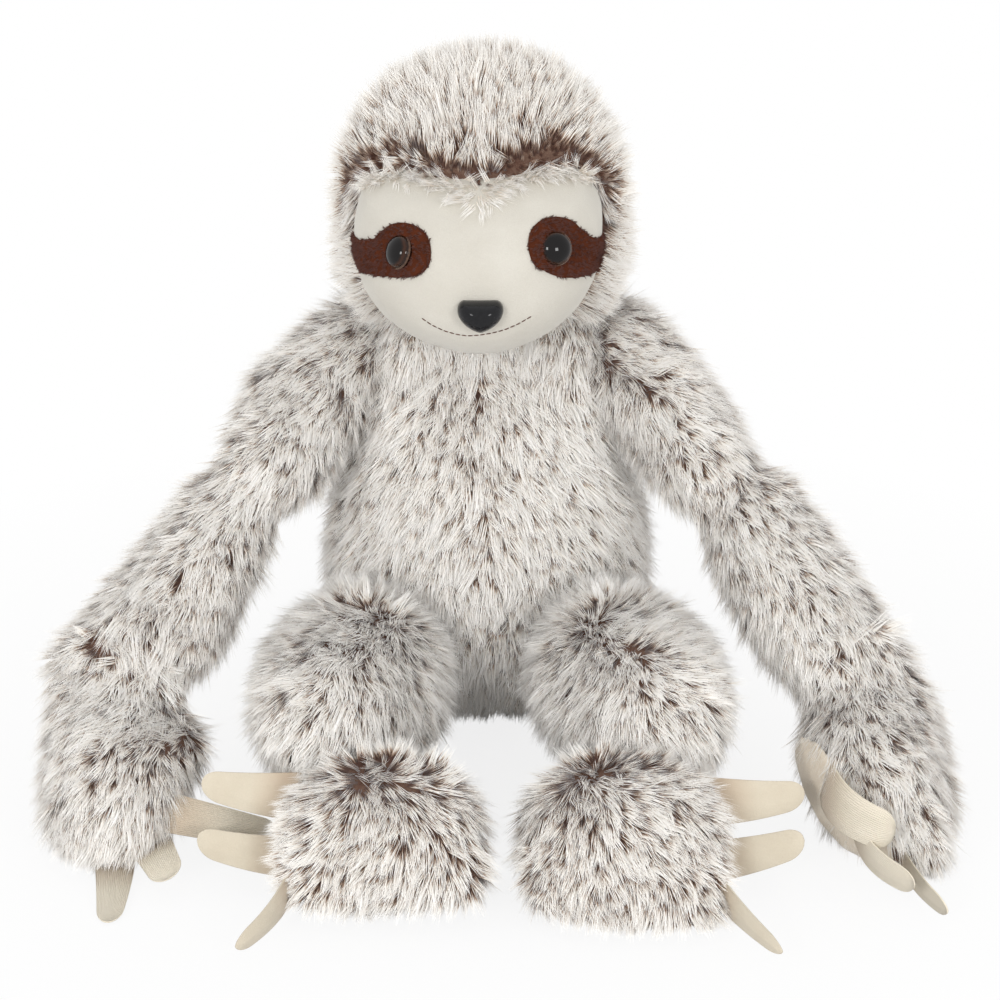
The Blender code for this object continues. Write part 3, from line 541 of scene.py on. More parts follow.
@dataclass(frozen=True)
class FurFinish(Finish):
    """Frosted pile, dark at its roots and pale at its tips, whose colour follows each strand."""

    name: str = "frosted_pile"
    root: Colour = (0.080, 0.033, 0.020)
    shank: Colour = (0.42, 0.30, 0.22)
    middle: Colour = (0.92, 0.885, 0.83)
    tip: Colour = (0.985, 0.975, 0.955)
    warm: Colour = (0.92, 0.84, 0.74)
    roughness: float = 0.85
    spread: float = 0.44
    sheen: float = 0.9
    gloss: float = 0.25
    stops: tuple[float, ...] = (0.0, 0.11, 0.24, 0.36, 0.62)
    warm_scale: float = 37.0
    warm_from: float = 0.35
    warm_share: float = 0.9

    def paint(self, shader: Shader, surface: bpy.types.Node) -> None:
        """Shift the strand's colours by its tone, and warm some strands."""
        place = shader.add("ShaderNodeUVMap", {"uv_map": FUR_MAP}).outputs[0]
        parts = shader.add("ShaderNodeSeparateXYZ", Vector=place)
        tone, along = parts.outputs[0], parts.outputs[1]
        drawn = shader.math("MULTIPLY_ADD", shader.math("SUBTRACT", tone, 0.5), self.spread, along)
        colours = (self.root, self.root, self.shank, self.middle, self.tip)
        colour = shader.ramp(drawn, tuple(zip(self.stops, colours)))
        warmth = shader.add(
            "ShaderNodeTexNoise", {"noise_dimensions": "1D"}, W=tone, Scale=self.warm_scale, Detail=1.0
        )
        above = shader.math("SUBTRACT", warmth.outputs[0], self.warm_from)
        share = shader.math("MULTIPLY", above, self.warm_share)
        amount = shader.add("ShaderNodeClamp", Value=share).outputs[0]
        colour = shader.mix(amount, colour, (*self.warm, 1.0), "MULTIPLY")
        shader.set(
            surface, Base_Color=colour, Roughness=self.roughness, Specular_IOR_Level=self.gloss,
            Sheen_Weight=self.sheen, Sheen_Roughness=0.5,
        )


@dataclass(frozen=True)
class BackingFinish(Finish):
    """The knitted backing, which shows dark between the strands."""

    name: str = "pile_backing"
    colour: Colour = FurFinish.root
    shade: Colour = FurFinish.shank

    def paint(self, shader: Shader, surface: bpy.types.Node) -> None:
        """Mottle the backing and raise its loops."""
        mottle = shader.add(
            "ShaderNodeGroup", {"node_tree": mottle_group()}, Colour=(*self.colour, 1.0),
            Shade=(*self.shade, 1.0), Large=220.0, Small=1400.0, Amount=0.25,
        )
        loops = shader.add("ShaderNodeBump", Height=mottle.outputs["Grain"], Distance=0.0006)
        shader.set(surface, Base_Color=mottle.outputs["Colour"], Roughness=0.95, Normal=loops.outputs[0])


@dataclass(frozen=True)
class ClothFinish(Finish):
    """A short-pile or brushed cloth."""

    name: str
    colour: Colour
    shade: Colour
    fineness: float = 1500.0
    brushing: float = 60.0
    depth: float = 0.0004
    amount: float = 0.5
    sheen: float = 0.25
    ribs: int = 0
    # Painted shade at a claw's root, where it meets the pile: a brown that fades out along the claw.
    root_shade: Colour | None = None
    gloss: float = 0.5

    def paint(self, shader: Shader, surface: bpy.types.Node) -> None:
        """Mottle the cloth, brush its pile, and give a claw its ribs, with painted shade in their grooves,
        and painted shade at its root, where it has them.
        """
        mottle = shader.add(
            "ShaderNodeGroup", {"node_tree": mottle_group()}, Colour=(*self.colour, 1.0),
            Shade=(*self.shade, 1.0), Large=self.brushing, Small=self.fineness, Amount=self.amount,
        )
        pile = shader.add(
            "ShaderNodeGroup", {"node_tree": pile_group()}, Fineness=self.fineness, Brushing=self.brushing * 3
        )
        colour, height = mottle.outputs["Colour"], pile.outputs["Height"]
        # Painted shade: the claw turns brown towards its root, where it meets the pile.
        if self.root_shade is not None:
            root_shade = shader.add(
                "ShaderNodeMapRange", Value=self.place(shader, 1), From_Min=0.12, From_Max=0.42, To_Min=0.6,
                To_Max=0.0,
            )
            colour = shader.mix(root_shade.outputs[0], colour, (*self.root_shade, 1.0))
        if self.ribs:
            wave = shader.math("SINE", shader.math("MULTIPLY", self.place(shader, 0), FULL_TURN * self.ribs))
            height = shader.math("MULTIPLY_ADD", wave, 0.45, height)
            # Painted shade: the grooves between the ribs are darkened towards the shade colour.
            groove_shade = shader.math("MULTIPLY_ADD", wave, -0.16, 0.16)
            colour = shader.mix(groove_shade, colour, (*self.shade, 1.0))
        bump = shader.add("ShaderNodeBump", Height=height, Distance=self.depth, Strength=0.8)
        shader.set(
            surface, Base_Color=colour, Roughness=0.9, Specular_IOR_Level=self.gloss, Sheen_Weight=self.sheen,
            Sheen_Roughness=0.5, Normal=bump.outputs[0],
        )

    @staticmethod
    def place(shader: Shader, axis: int) -> bpy.types.NodeSocket:
        """Read one axis of the claw's map: 0 runs across it and 1 along it."""
        place = shader.add("ShaderNodeUVMap", {"uv_map": FUR_MAP}).outputs[0]
        return shader.add("ShaderNodeSeparateXYZ", Vector=place).outputs[axis]


@dataclass(frozen=True)
class PlasticFinish(Finish):
    """A moulded, glossy plastic with fine handling marks in its gloss."""

    name: str
    colour: Colour
    roughness: float = 0.08

    def paint(self, shader: Shader, surface: bpy.types.Node) -> None:
        """Vary the plastic's gloss and colour a little."""
        place = shader.add("ShaderNodeTexCoord").outputs["Object"]
        marks = shader.add("ShaderNodeTexNoise", Vector=place, Scale=700.0, Detail=3.0).outputs[0]
        pale = tuple(min(1.0, part * 1.6 + 0.004) for part in self.colour)
        shader.set(
            surface, Base_Color=shader.mix(marks, (*self.colour, 1.0), (*pale, 1.0)),
            Roughness=shader.math("MULTIPLY_ADD", marks, self.roughness * 0.6, self.roughness * 0.7),
            IOR=1.49, Specular_IOR_Level=0.22,
        )


@dataclass(frozen=True)
class IrisFinish(Finish):
    """A glossy eye: a black pupil, a ring painted brown at its edges and amber between, and a rim of painted
    light where the clear dome's edge shows.
    """

    name: str = "iris"
    pupil: Colour = (0.004, 0.003, 0.003)
    edge: Colour = (0.012, 0.005, 0.003)
    amber: Colour = (0.040, 0.014, 0.006)
    # Painted light: a ring lighter than the iris's edge, for the clear dome's rim as light comes through it.
    rim: Colour = (0.10, 0.055, 0.035)
    stops: tuple[float, ...] = (0.0, 0.74, 0.80, 0.88, 0.955, 1.0)
    rays: float = 34.0

    def paint(self, shader: Shader, surface: bpy.types.Node) -> None:
        """Lay the rings by the eye's own map, around it and outwards, and fray them into rays."""
        place = shader.add("ShaderNodeUVMap", {"uv_map": FUR_MAP}).outputs[0]
        parts = shader.add("ShaderNodeSeparateXYZ", Vector=place)
        streaks = shader.add(
            "ShaderNodeTexNoise", {"noise_dimensions": "1D"}, W=parts.outputs[0], Scale=self.rays, Detail=3.0
        )
        frayed = shader.math("SUBTRACT", streaks.outputs[0], 0.5)
        bent = shader.math("MULTIPLY_ADD", frayed, 0.06, parts.outputs[1])
        colours = (self.pupil, self.pupil, self.edge, self.amber, self.edge, self.rim)
        colour = shader.ramp(bent, tuple(zip(self.stops, colours)))
        shader.set(surface, Base_Color=colour, Roughness=0.04, Specular_IOR_Level=0.26)


@dataclass(frozen=True)
class ThreadFinish(Finish):
    """Embroidery thread with its twist."""

    name: str = "mouth_thread"
    colour: Colour = (0.075, 0.034, 0.022)

    def paint(self, shader: Shader, surface: bpy.types.Node) -> None:
        """Twist two tones of the thread."""
        place = shader.add("ShaderNodeTexCoord").outputs["Object"]
        twist = shader.add(
            "ShaderNodeTexWave", {"bands_direction": "DIAGONAL"}, Vector=place, Scale=900.0
        ).outputs[1]
        pale = tuple(part * 2.2 for part in self.colour)
        bump = shader.add("ShaderNodeBump", Height=twist, Distance=0.0002)
        shader.set(
            surface, Base_Color=shader.mix(twist, (*self.colour, 1.0), (*pale, 1.0)), Roughness=0.6,
            Normal=bump.outputs[0],
        )


FUR = FurFinish()
BACKING = BackingFinish()
# Painted light: the fringe's root and shank are nearly as pale as its tips, against the shade at its base;
# its pale tone is its own.
FRINGE = FurFinish(
    "fringe_pile", (0.78, 0.70, 0.60), (0.86, 0.80, 0.72), (0.92, 0.89, 0.84), (0.97, 0.96, 0.94), spread=0.3
)
# Painted shade: the hood's pile is darker than the rest of the fur, against the light that falls on the
# head's top.
SHADED_CROWN = FurFinish("crown_pile", middle=(0.85, 0.815, 0.76), tip=(0.905, 0.89, 0.865))
UNDERPILE = FurFinish(
    "underpile", (0.075, 0.031, 0.019), (0.135, 0.062, 0.038), (0.20, 0.11, 0.075), (0.42, 0.32, 0.25),
    (0.95, 0.88, 0.82), spread=0.5, sheen=0.3,
)
PATCH_PILE = FurFinish(
    "patch_pile", (0.018, 0.004, 0.002), (0.045, 0.011, 0.004), (0.098, 0.024, 0.009), (0.150, 0.040, 0.016),
    (0.95, 0.82, 0.76), spread=0.6, sheen=0.0, gloss=0.0,
)
FACE_CLOTH = ClothFinish(
    "face_velboa", (0.60, 0.573, 0.512), (0.50, 0.468, 0.405), fineness=1900.0, brushing=45.0, amount=0.62,
    sheen=0.3,
)
PATCH_CLOTH = ClothFinish(
    "patch_velboa", (0.092, 0.023, 0.009), (0.048, 0.012, 0.005), fineness=1700.0, brushing=150.0,
    depth=0.0006, amount=0.8, sheen=0.0, gloss=0.1,
)
PAD_CLOTH = ClothFinish(
    "brushed_pad", (0.80, 0.72, 0.60), (0.68, 0.58, 0.46), fineness=1300.0, brushing=90.0, depth=0.0005,
    amount=0.7,
)
# Painted shade laid on the claws' roots, where they meet the pile.
CLAW_ROOT_SHADE = (0.50, 0.36, 0.25)
# Painted shade: the foot claws' cloth is darker than the hand claws', against the light it catches lying on
# the floor.
CLAW_PILE = ClothFinish(
    "claw_velboa", (0.64, 0.575, 0.46), (0.55, 0.48, 0.37), fineness=1700.0, brushing=80.0, depth=0.0003,
    amount=0.6, root_shade=CLAW_ROOT_SHADE,
)
# Painted light: the hand claws' cloth is lighter than the foot claws', against the shade it lies in by the
# feet.
CLAW_RIBS = ClothFinish(
    "claw_ribs", (0.86, 0.79, 0.655), (0.74, 0.66, 0.52), fineness=1700.0, brushing=80.0, depth=0.0005,
    sheen=0.2, ribs=40, root_shade=CLAW_ROOT_SHADE,
)
NOSE_GLOSS = PlasticFinish("nose_gloss", (0.006, 0.006, 0.007), 0.10)
WASHER = PlasticFinish("washer_white", (0.72, 0.72, 0.70), 0.35)
IRIS = IrisFinish()
THREAD = ThreadFinish()


@dataclass(frozen=True)
class Nap:
    """Where the pile lies a given way."""

    place: Vector
    way: Vector
    reach: float
    pull: float = 1.0


@dataclass(frozen=True)
class Whorl:
    """Where the pile parts and shows its dark roots.

    Its line holds one point for a whorl, and more for a parting.
    """

    line: tuple[Vector, ...]
    reach: float
    depth: float = 1.0
    pull: float = 2.0
    bare: float = 0.0

    def offsets(self, points: np.ndarray) -> np.ndarray:
        """Give each point's offset from the nearest place on the line."""
        best = points - np.array(self.line[0])
        for first, last in zip(self.line, self.line[1:]):
            start, along = np.array(first), np.array(last - first)
            share = np.clip(((points - start) @ along) / max(along @ along, 1e-12), 0, 1)
            offset = points - start - share[:, None] * along
            nearer = (offset**2).sum(1) < (best**2).sum(1)
            best[nearer] = offset[nearer]
        return best


@dataclass(frozen=True)
class Coat:
    """How a piece's pile grows. Scales are those of the noise that disturbs it, per metre."""

    base: Vector
    naps: tuple[Nap, ...] = ()
    whorls: tuple[Whorl, ...] = ()
    length: float = 0.0145
    spacing: float = 0.00195
    waviness: float = 0.35
    seed: int = 1
    spring: Vector | None = None
    spring_pull: float = 1.0
    pale: float = 0.0
    finish: FurFinish = FUR
    slot: str = "fur"
    sway_scale: float = 38.0
    sway_share: float = 1.6
    ruffle_scale: float = 120.0
    ruffle_share: float = 0.8
    parting_share: float = 0.34
    bare_share: float = 0.93
    risen_below: float = 0.40

    def comb(
        self, points: np.ndarray, normals: np.ndarray
    ) -> tuple[np.ndarray, np.ndarray, np.ndarray, np.ndarray]:
        """Work out which way the pile lies at each point, how far it is parted, and where it grows.

        Args:
            points: The skin's points.
            normals: Their normals.

        Returns:
            Unit vectors along the skin, the parting from 0 to 1, the cover from 0 to 1, and how far the pile
            stands up, from 0 to 1, because it has no way to lie.
        """
        flow = np.tile(np.array(self.base, float), (len(points), 1))
        for nap in self.naps:
            away = np.linalg.norm(points - np.array(nap.place), axis=1)
            weight = nap.pull * np.exp(-((away / nap.reach) ** 2))
            flow += weight[:, None] * np.array(nap.way.normalized(), float)
        if self.spring is not None:
            away = points - np.array(self.spring)
            flow += self.spring_pull * away / np.linalg.norm(away, axis=1)[:, None]
        parted, cover = np.zeros(len(points)), np.ones(len(points))
        for whorl in self.whorls:
            offset = whorl.offsets(points)
            offset -= (offset * normals).sum(1)[:, None] * normals
            away = np.linalg.norm(offset, axis=1)
            outwards = offset / np.maximum(away, 1e-5)[:, None]
            flow += (whorl.pull * np.exp(-((away / whorl.reach) ** 2)))[:, None] * outwards
            narrow = whorl.reach * self.parting_share
            parted = np.maximum(parted, whorl.depth * np.exp(-((away / narrow) ** 2)))
            if whorl.bare:
                cover *= 1 - self.bare_share * np.exp(-((away / whorl.bare) ** 4))
        sway = np.array([noise.noise_vector(Vector(point) * self.sway_scale) for point in points])
        ruffle = np.array([noise.noise_vector(Vector(point) * self.ruffle_scale) for point in points])
        flow += self.waviness * self.sway_share * sway + self.waviness * self.ruffle_share * ruffle
        whole = np.linalg.norm(flow, axis=1)
        flow -= (flow * normals).sum(1)[:, None] * normals
        size = np.linalg.norm(flow, axis=1)
        risen = np.clip(1.0 - size / np.maximum(whole, 1e-6) / self.risen_below, 0.0, 1.0)
        return flow / np.maximum(size, 1e-6)[:, None], np.clip(parted, 0, 1), cover, risen


@dataclass
class Skin:
    """A stuffed member's skin, under the pile.

    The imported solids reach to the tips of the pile, so the skin lies a pile's height inside.
    """

    name: str
    nodes: tuple[str, ...]
    inset: float = 0.0064
    voxel: float = 0.0032
    rounds: int = 6
    whole: bool = False
    floor: bool = True
    swell: tuple[tuple[str, Vector, float], ...] = ()
    shape: Callable[[np.ndarray], np.ndarray] | None = None
    pressure: float = 0.0
    cap: float = 0.0016
    frames: int = 20
    floor_share: float = 0.35

    def build(self) -> Thing:
        """Join the nodes' hulls, or the whole nodes, smooth them and draw them in by the inset."""
        bm = bmesh.new()
        for node in self.nodes:
            if self.whole:
                bm.from_mesh(frame["nodes"][node].data)
                bmesh.ops.remove_doubles(bm, verts=bm.verts, dist=1e-6)
                if self.shape is not None:
                    moved = self.shape(np.array([vertex.co for vertex in bm.verts], float))
                    for vertex, place in zip(bm.verts, moved):
                        vertex.co = place
            else:
                points = node_points(node)
                for swollen, centre, radius in self.swell:
                    if swollen == node:
                        points = np.vstack((points, np.array(centre) + ball_points() * radius))
                hull_into(bm, points if self.shape is None else self.shape(points))
        made = object_from(self.name, bm)
        remesh = made.modifiers.new("weld", "REMESH")
        remesh.mode = "VOXEL"
        remesh.voxel_size = self.voxel
        settled(made)
        self.keep_largest(made.data)
        points = relaxed(made.data, points_of(made.data), self.rounds)
        put_points(made.data, points)
        points = points - normals_of(made.data) * self.inset
        points = relaxed(made.data, points, 2)
        if self.pressure:
            put_points(made.data, points)
            points = self.stuffed(made)
        if self.floor:
            points[:, 2] = np.maximum(points[:, 2], self.inset * self.floor_share)
        put_points(made.data, points)
        made.data.shade_smooth()
        return made

    def stuffed(self, made: Thing) -> np.ndarray:
        """Let the filling press the skin out as cloth, and cap how far a point may go.

        Args:
            made: The slack skin.

        Returns:
            The skin's points, pressed out.
        """
        slack, normals = points_of(made.data), normals_of(made.data)
        cloth = made.modifiers.new("stuffing", "CLOTH")
        cloth.settings.use_pressure = True
        cloth.settings.uniform_pressure_force = self.pressure
        cloth.settings.effector_weights.gravity = 0.0
        cloth.settings.quality = 4
        scene = bpy.context.scene
        for step in range(self.frames):
            scene.frame_set(step + 1)
        graph = bpy.context.evaluated_depsgraph_get()
        pressed = points_of(made.evaluated_get(graph).data)
        made.modifiers.clear()
        scene.frame_set(1)
        move = pressed - slack
        move -= normals * (move * normals).sum(1).mean()
        far = np.linalg.norm(move, axis=1)[:, None]
        return slack + move * np.minimum(1.0, self.cap / np.maximum(far, 1e-9))

    @staticmethod
    def keep_largest(mesh: bpy.types.Mesh) -> None:
        """Drop all but the largest connected shell of a mesh."""
        bm = bmesh.new()
        bm.from_mesh(mesh)
        left = set(bm.verts)
        shells = []
        while left:
            stack = [left.pop()]
            shell = set(stack)
            while stack:
                for edge in stack.pop().link_edges:
                    for vertex in edge.verts:
                        if vertex in left:
                            left.discard(vertex)
                            shell.add(vertex)
                            stack.append(vertex)
            shells.append(shell)
        shells.sort(key=len)
        spare = [vertex for shell in shells[:-1] for vertex in shell]
        bmesh.ops.delete(bm, geom=spare, context="VERTS")
        bm.to_mesh(mesh)
        bm.free()


def piece_between(
    name: str, whole: Thing, cuts: Sequence[tuple[Vector, Vector]]
) -> Thing:
    """Copy the stretch of a skin that lies in front of each cutting plane.

    Args:
        name: The new object's name.
        whole: The skin to copy from.
        cuts: Planes, each as a point and the way that points to the kept side.

    Returns:
        The stretch, open where it was cut.
    """
    bm = bmesh.new()
    bm.from_mesh(whole.data)
    for place, way in cuts:
        everything = bm.verts[:] + bm.edges[:] + bm.faces[:]
        bmesh.ops.bisect_plane(bm, geom=everything, plane_co=place, plane_no=-way, clear_outer=True)
    return object_from(name, bm)


def closed(made: Thing) -> Thing:
    """Close the open ends of a skin."""
    bm = bmesh.new()
    bm.from_mesh(made.data)
    rims = [edge for edge in bm.edges if edge.is_boundary]
    bmesh.ops.holes_fill(bm, edges=rims, sides=0)
    bmesh.ops.recalc_face_normals(bm, faces=bm.faces)
    bm.to_mesh(made.data)
    bm.free()
    made.data.shade_smooth()
    return made


@dataclass(frozen=True)
class Frosting:
    """How the pile of the whole toy varies over it, in clumps that no comb made.

    Scales are those of its noise, per metre. Shares are of a parting's depth, or of the pile's length.
    """

    clump_scale: float = 34.0
    spot_scale: float = 90.0
    spot_share: float = 0.5
    spot_from: float = 0.06
    spot_gain: float = 1.25
    spot_most: float = 0.66
    grain_scale: float = 170.0
    grain_middle: float = 0.8
    grain_gain: float = 1.1
    grain_least: float = 0.25
    drift_scale: float = 30.0
    drift_share: float = 0.32
    shorter: float = 0.22
    joint_overlap: float = 0.0015
    joint_dark: float = 0.55
    joint_reach: float = 0.005
    bald_gap: float = 0.0012
    floor_height: float = 0.004
    floor_fade: float = 0.010
    floor_share: float = 0.6

    @staticmethod
    def field(points: np.ndarray, scale: float) -> np.ndarray:
        """Give a noise's values at points."""
        return np.array([noise.noise(Vector(point) * scale) for point in points])

    def spots(self, points: np.ndarray) -> np.ndarray:
        """Give the clumps, with smaller spots on them."""
        return self.field(points, self.clump_scale) + self.spot_share * self.field(points, self.spot_scale)

    def dark(self, spots: np.ndarray) -> np.ndarray:
        """Give how far the clumps part and show their roots."""
        return np.clip(self.spot_gain * (spots - self.spot_from), 0.0, self.spot_most)

    def broken(self, points: np.ndarray) -> np.ndarray:
        """Give how far a finer grain breaks the dark spots up."""
        grain = self.grain_gain * self.field(points, self.grain_scale)
        return np.clip(self.grain_middle + grain, self.grain_least, 1.0)

    def drift(self, points: np.ndarray) -> np.ndarray:
        """Give how the pile turns paler and darker over larger stretches."""
        return self.drift_share * self.field(points, self.drift_scale)

    def off_floor(self, points: np.ndarray) -> np.ndarray:
        """Give the pile's length near the floor, where it is pressed short."""
        height = np.clip((points[:, 2] - self.floor_height) / self.floor_fade, 0.0, 1.0)
        return self.floor_share + (1 - self.floor_share) * height


FROSTING = Frosting()


@dataclass
class PileMaker:
    """Grows pile on skins with a node tree that places small locks of closed strands."""

    strand_width: float = 0.00058
    strand_depth: float = 0.00032
    root_spread: float = 0.0022
    tip_spread: float = 0.0019
    strands: int = 11
    lean_degrees: float = 16.0
    variants: int = 6
    seed: int = 7
    sunk_share: float = 0.04
    density: float = 600000.0
    disorder: float = 0.26
    floor_gap: float = 0.0008

    def __post_init__(self) -> None:
        """Make the locks and the tree."""
        self.locks = self.make_locks()
        self.tree = self.make_tree()

    def make_locks(self) -> bpy.types.Collection:
        """Model a few locks of one unit's length, whose closed strands draw together at their tips."""
        collection = bpy.data.collections.new("locks")
        picker = np.random.default_rng(self.seed)
        for number in range(self.variants):
            bm = bmesh.new()
            along = bm.verts.layers.float.new("along")
            strand_tone = bm.verts.layers.float.new("strand")
            side = picker.uniform(-0.10, 0.10)
            for strand in range(self.strands):
                angle = FULL_TURN * (strand + picker.uniform(-0.3, 0.3)) / self.strands
                around = Vector((math.cos(angle), math.sin(angle), 0))
                root = around * self.root_spread * picker.uniform(0.3, 1.0) / REST_LENGTH
                length = picker.uniform(0.70, 1.06)
                lean = math.radians(self.lean_degrees + picker.uniform(-7.0, 15.0))
                tip = Vector((math.cos(lean), side, math.sin(lean))) * length
                gather = self.tip_spread / REST_LENGTH
                tip += Vector((0, around.y, 0.5 * around.x)) * gather * picker.uniform(0.2, 1.0)
                wide = self.strand_width * picker.uniform(0.75, 1.2) / 2 / REST_LENGTH
                deep = self.strand_depth / REST_LENGTH
                base = []
                for x, y in ((-0.5, 1.0), (-0.5, -1.0), (0.8, 0.0)):
                    corner = bm.verts.new(root + Vector((x * deep, y * wide, -self.sunk_share)))
                    corner[along] = 0.0
                    base.append(corner)
                point = bm.verts.new(tip)
                point[along] = 1.0
                tone = picker.uniform(0.0, 1.0)
                for corner in (*base, point):
                    corner[strand_tone] = tone
                fan(bm, base, point)
                bm.faces.new(base[::-1])
            bmesh.ops.recalc_face_normals(bm, faces=bm.faces)
            lock = object_from(f"lock_{number}", bm)
            bpy.context.scene.collection.objects.unlink(lock)
            collection.objects.link(lock)
        return collection

    def make_tree(self) -> bpy.types.NodeTree:
        """Build the tree that scatters, turns and sizes the locks."""
        tree = bpy.data.node_groups.new("pile", "GeometryNodeTree")
        tree.interface.new_socket("Geometry", in_out="INPUT", socket_type="NodeSocketGeometry")
        for label, kind in (
            ("Spacing", "NodeSocketFloat"), ("Length", "NodeSocketFloat"), ("Disorder", "NodeSocketFloat"),
            ("Seed", "NodeSocketInt"), ("Locks", "NodeSocketCollection"), ("Material", "NodeSocketMaterial"),
        ):
            tree.interface.new_socket(label, in_out="INPUT", socket_type=kind)
        tree.interface.new_socket("Geometry", in_out="OUTPUT", socket_type="NodeSocketGeometry")
        nodes = Shader(tree)
        ins, outs = nodes.add("NodeGroupInput").outputs, nodes.add("NodeGroupOutput")

        def named(label: str, kind: str) -> bpy.types.NodeSocket:
            """Read an attribute of the skin."""
            return nodes.add("GeometryNodeInputNamedAttribute", {"data_type": kind}, Name=label).outputs[0]

        def chance(low: float, high: float, salt: int) -> bpy.types.NodeSocket:
            """Draw a number for each lock."""
            seed = nodes.math("ADD", ins["Seed"], float(salt))
            drawn = nodes.add("FunctionNodeRandomValue", {"data_type": "FLOAT"}, Seed=seed)
            drawn.inputs[2].default_value = low
            drawn.inputs[3].default_value = high
            return drawn.outputs[1]

        scatter = nodes.add(
            "GeometryNodeDistributePointsOnFaces", {"distribute_method": "POISSON"}, Mesh=ins["Geometry"],
            Distance_Min=ins["Spacing"], Density_Max=self.density, Density_Factor=named("cover", "FLOAT"),
            Seed=ins["Seed"],
        )
        parted = named("parted", "FLOAT")
        upright = nodes.add("FunctionNodeAxesToRotation", {"primary_axis": "Z", "secondary_axis": "X"})
        nodes.feed(upright.inputs[0], scatter.outputs["Normal"])
        nodes.feed(upright.inputs[1], named("comb", "FLOAT_VECTOR"))
        wild = nodes.math("MULTIPLY_ADD", parted, 0.35, ins["Disorder"])
        twist = nodes.math("MULTIPLY", chance(-1.0, 1.0, 11), nodes.math("MULTIPLY", wild, 1.5))
        lift = nodes.math("MULTIPLY", chance(-1.0, 0.75, 12), wild)
        lift = nodes.math("MULTIPLY_ADD", parted, -0.42, lift)
        lift = nodes.math("MULTIPLY_ADD", named("risen", "FLOAT"), -0.6, lift)
        sway = nodes.math("MULTIPLY", chance(-1.0, 1.0, 13), wild)
        euler = nodes.add("ShaderNodeCombineXYZ", X=sway, Y=lift, Z=twist)
        turn = nodes.add("FunctionNodeEulerToRotation")
        nodes.feed(turn.inputs[0], euler.outputs[0])
        rotation = nodes.add("FunctionNodeRotateRotation", {"rotation_space": "LOCAL"})
        nodes.feed(rotation.inputs[0], upright.outputs[0])
        nodes.feed(rotation.inputs[1], turn.outputs[0])
        size = nodes.math("MULTIPLY", ins["Length"], chance(0.74, 1.16, 14))
        size = nodes.math("MULTIPLY", size, named("pile", "FLOAT"))
        girth = nodes.math("MAXIMUM", size, nodes.math("MULTIPLY", ins["Length"], 0.8))
        scale = nodes.add("ShaderNodeCombineXYZ", X=size, Y=girth, Z=size)
        locks = nodes.add(
            "GeometryNodeCollectionInfo", Collection=ins["Locks"], Separate_Children=True, Reset_Children=True
        )
        place = nodes.add(
            "GeometryNodeInstanceOnPoints", Points=scatter.outputs["Points"], Instance=locks.outputs[0],
            Pick_Instance=True, Rotation=rotation.outputs[0], Scale=scale.outputs[0],
        )
        paler = nodes.math("ADD", chance(-0.40, 0.86, 15), named("pale", "FLOAT"))
        tone = nodes.math("MULTIPLY_ADD", parted, -0.34, paler)
        stored = nodes.add(
            "GeometryNodeStoreNamedAttribute", {"data_type": "FLOAT", "domain": "INSTANCE"},
            Geometry=place.outputs[0], Name="tone", Value=tone,
        )
        real = nodes.add("GeometryNodeRealizeInstances", Geometry=stored.outputs[0])
        here = nodes.add("ShaderNodeSeparateXYZ", Vector=nodes.add("GeometryNodeInputPosition").outputs[0])
        over = nodes.math("MAXIMUM", here.outputs[2], self.floor_gap)
        lifted = nodes.add("ShaderNodeCombineXYZ", X=here.outputs[0], Y=here.outputs[1], Z=over)
        laid = nodes.add("GeometryNodeSetPosition", Geometry=real.outputs[0], Position=lifted.outputs[0])
        strand = nodes.math("MULTIPLY_ADD", named("strand", "FLOAT"), 0.3, named("tone", "FLOAT"))
        held = nodes.add("ShaderNodeClamp", Value=strand)
        pair = nodes.add("ShaderNodeCombineXYZ", X=held.outputs[0], Y=named("along", "FLOAT"))
        mapped = nodes.add(
            "GeometryNodeStoreNamedAttribute", {"data_type": "FLOAT2", "domain": "CORNER"},
            Geometry=laid.outputs[0], Name=FUR_MAP, Value=pair.outputs[0],
        )
        finish = nodes.add("GeometryNodeSetMaterial", Geometry=mapped.outputs[0], Material=ins["Material"])
        nodes.feed(outs.inputs[0], finish.outputs[0])
        return tree

    def grow(
        self,
        name: str,
        skin: Thing,
        coat: Coat,
        others: Sequence[Thing] = (),
        bald: Sequence[Thing] = (),
        bald_depth: float = FAR_OUT,
        mask: np.ndarray | None = None,
    ) -> Thing:
        """Grow pile on a skin.

        Args:
            name: The name of the pile's object.
            skin: The skin, which gets the attributes that the tree reads.
            coat: How the pile lies and how long it is.
            others: Skins in whose inside no pile grows.
            bald: Closed forms in and near which no pile grows.
            bald_depth: How deep inside such a form that still holds, which is little for a thin one.
            mask: How much of the pile grows at each point, where that is given.

        Returns:
            The pile as a plain mesh.
        """
        points, normals = points_of(skin.data), normals_of(skin.data)
        comb, parted, cover, risen = coat.comb(points, normals)
        spots = FROSTING.spots(points)
        parted = np.maximum(parted, FROSTING.dark(spots)) * FROSTING.broken(points)
        length = 1.0 - FROSTING.shorter * parted
        if mask is not None:
            cover *= mask
        for other in others:
            over = heights_over(tree_of(other), points, FAR_OUT)
            cover[over < -FROSTING.joint_overlap] = 0.0
            parted = np.maximum(parted, FROSTING.joint_dark * np.exp(-((over / FROSTING.joint_reach) ** 2)))
        for form in bald:
            over = heights_over(tree_of(form), points, FAR_OUT)
            cover[(over < FROSTING.bald_gap) & (over > -bald_depth)] = 0.0
        length *= FROSTING.off_floor(points)
        values = {
            "comb": comb, "parted": parted, "cover": cover, "pile": length,
            "pale": coat.pale + FROSTING.drift(points), "risen": risen,
        }
        for label, value in values.items():
            kind = "FLOAT_VECTOR" if value.ndim == 2 else "FLOAT"
            layer = skin.data.attributes.new(label, kind, "POINT")
            layer.data.foreach_set("vector" if value.ndim == 2 else "value", value.astype(np.float32).ravel())
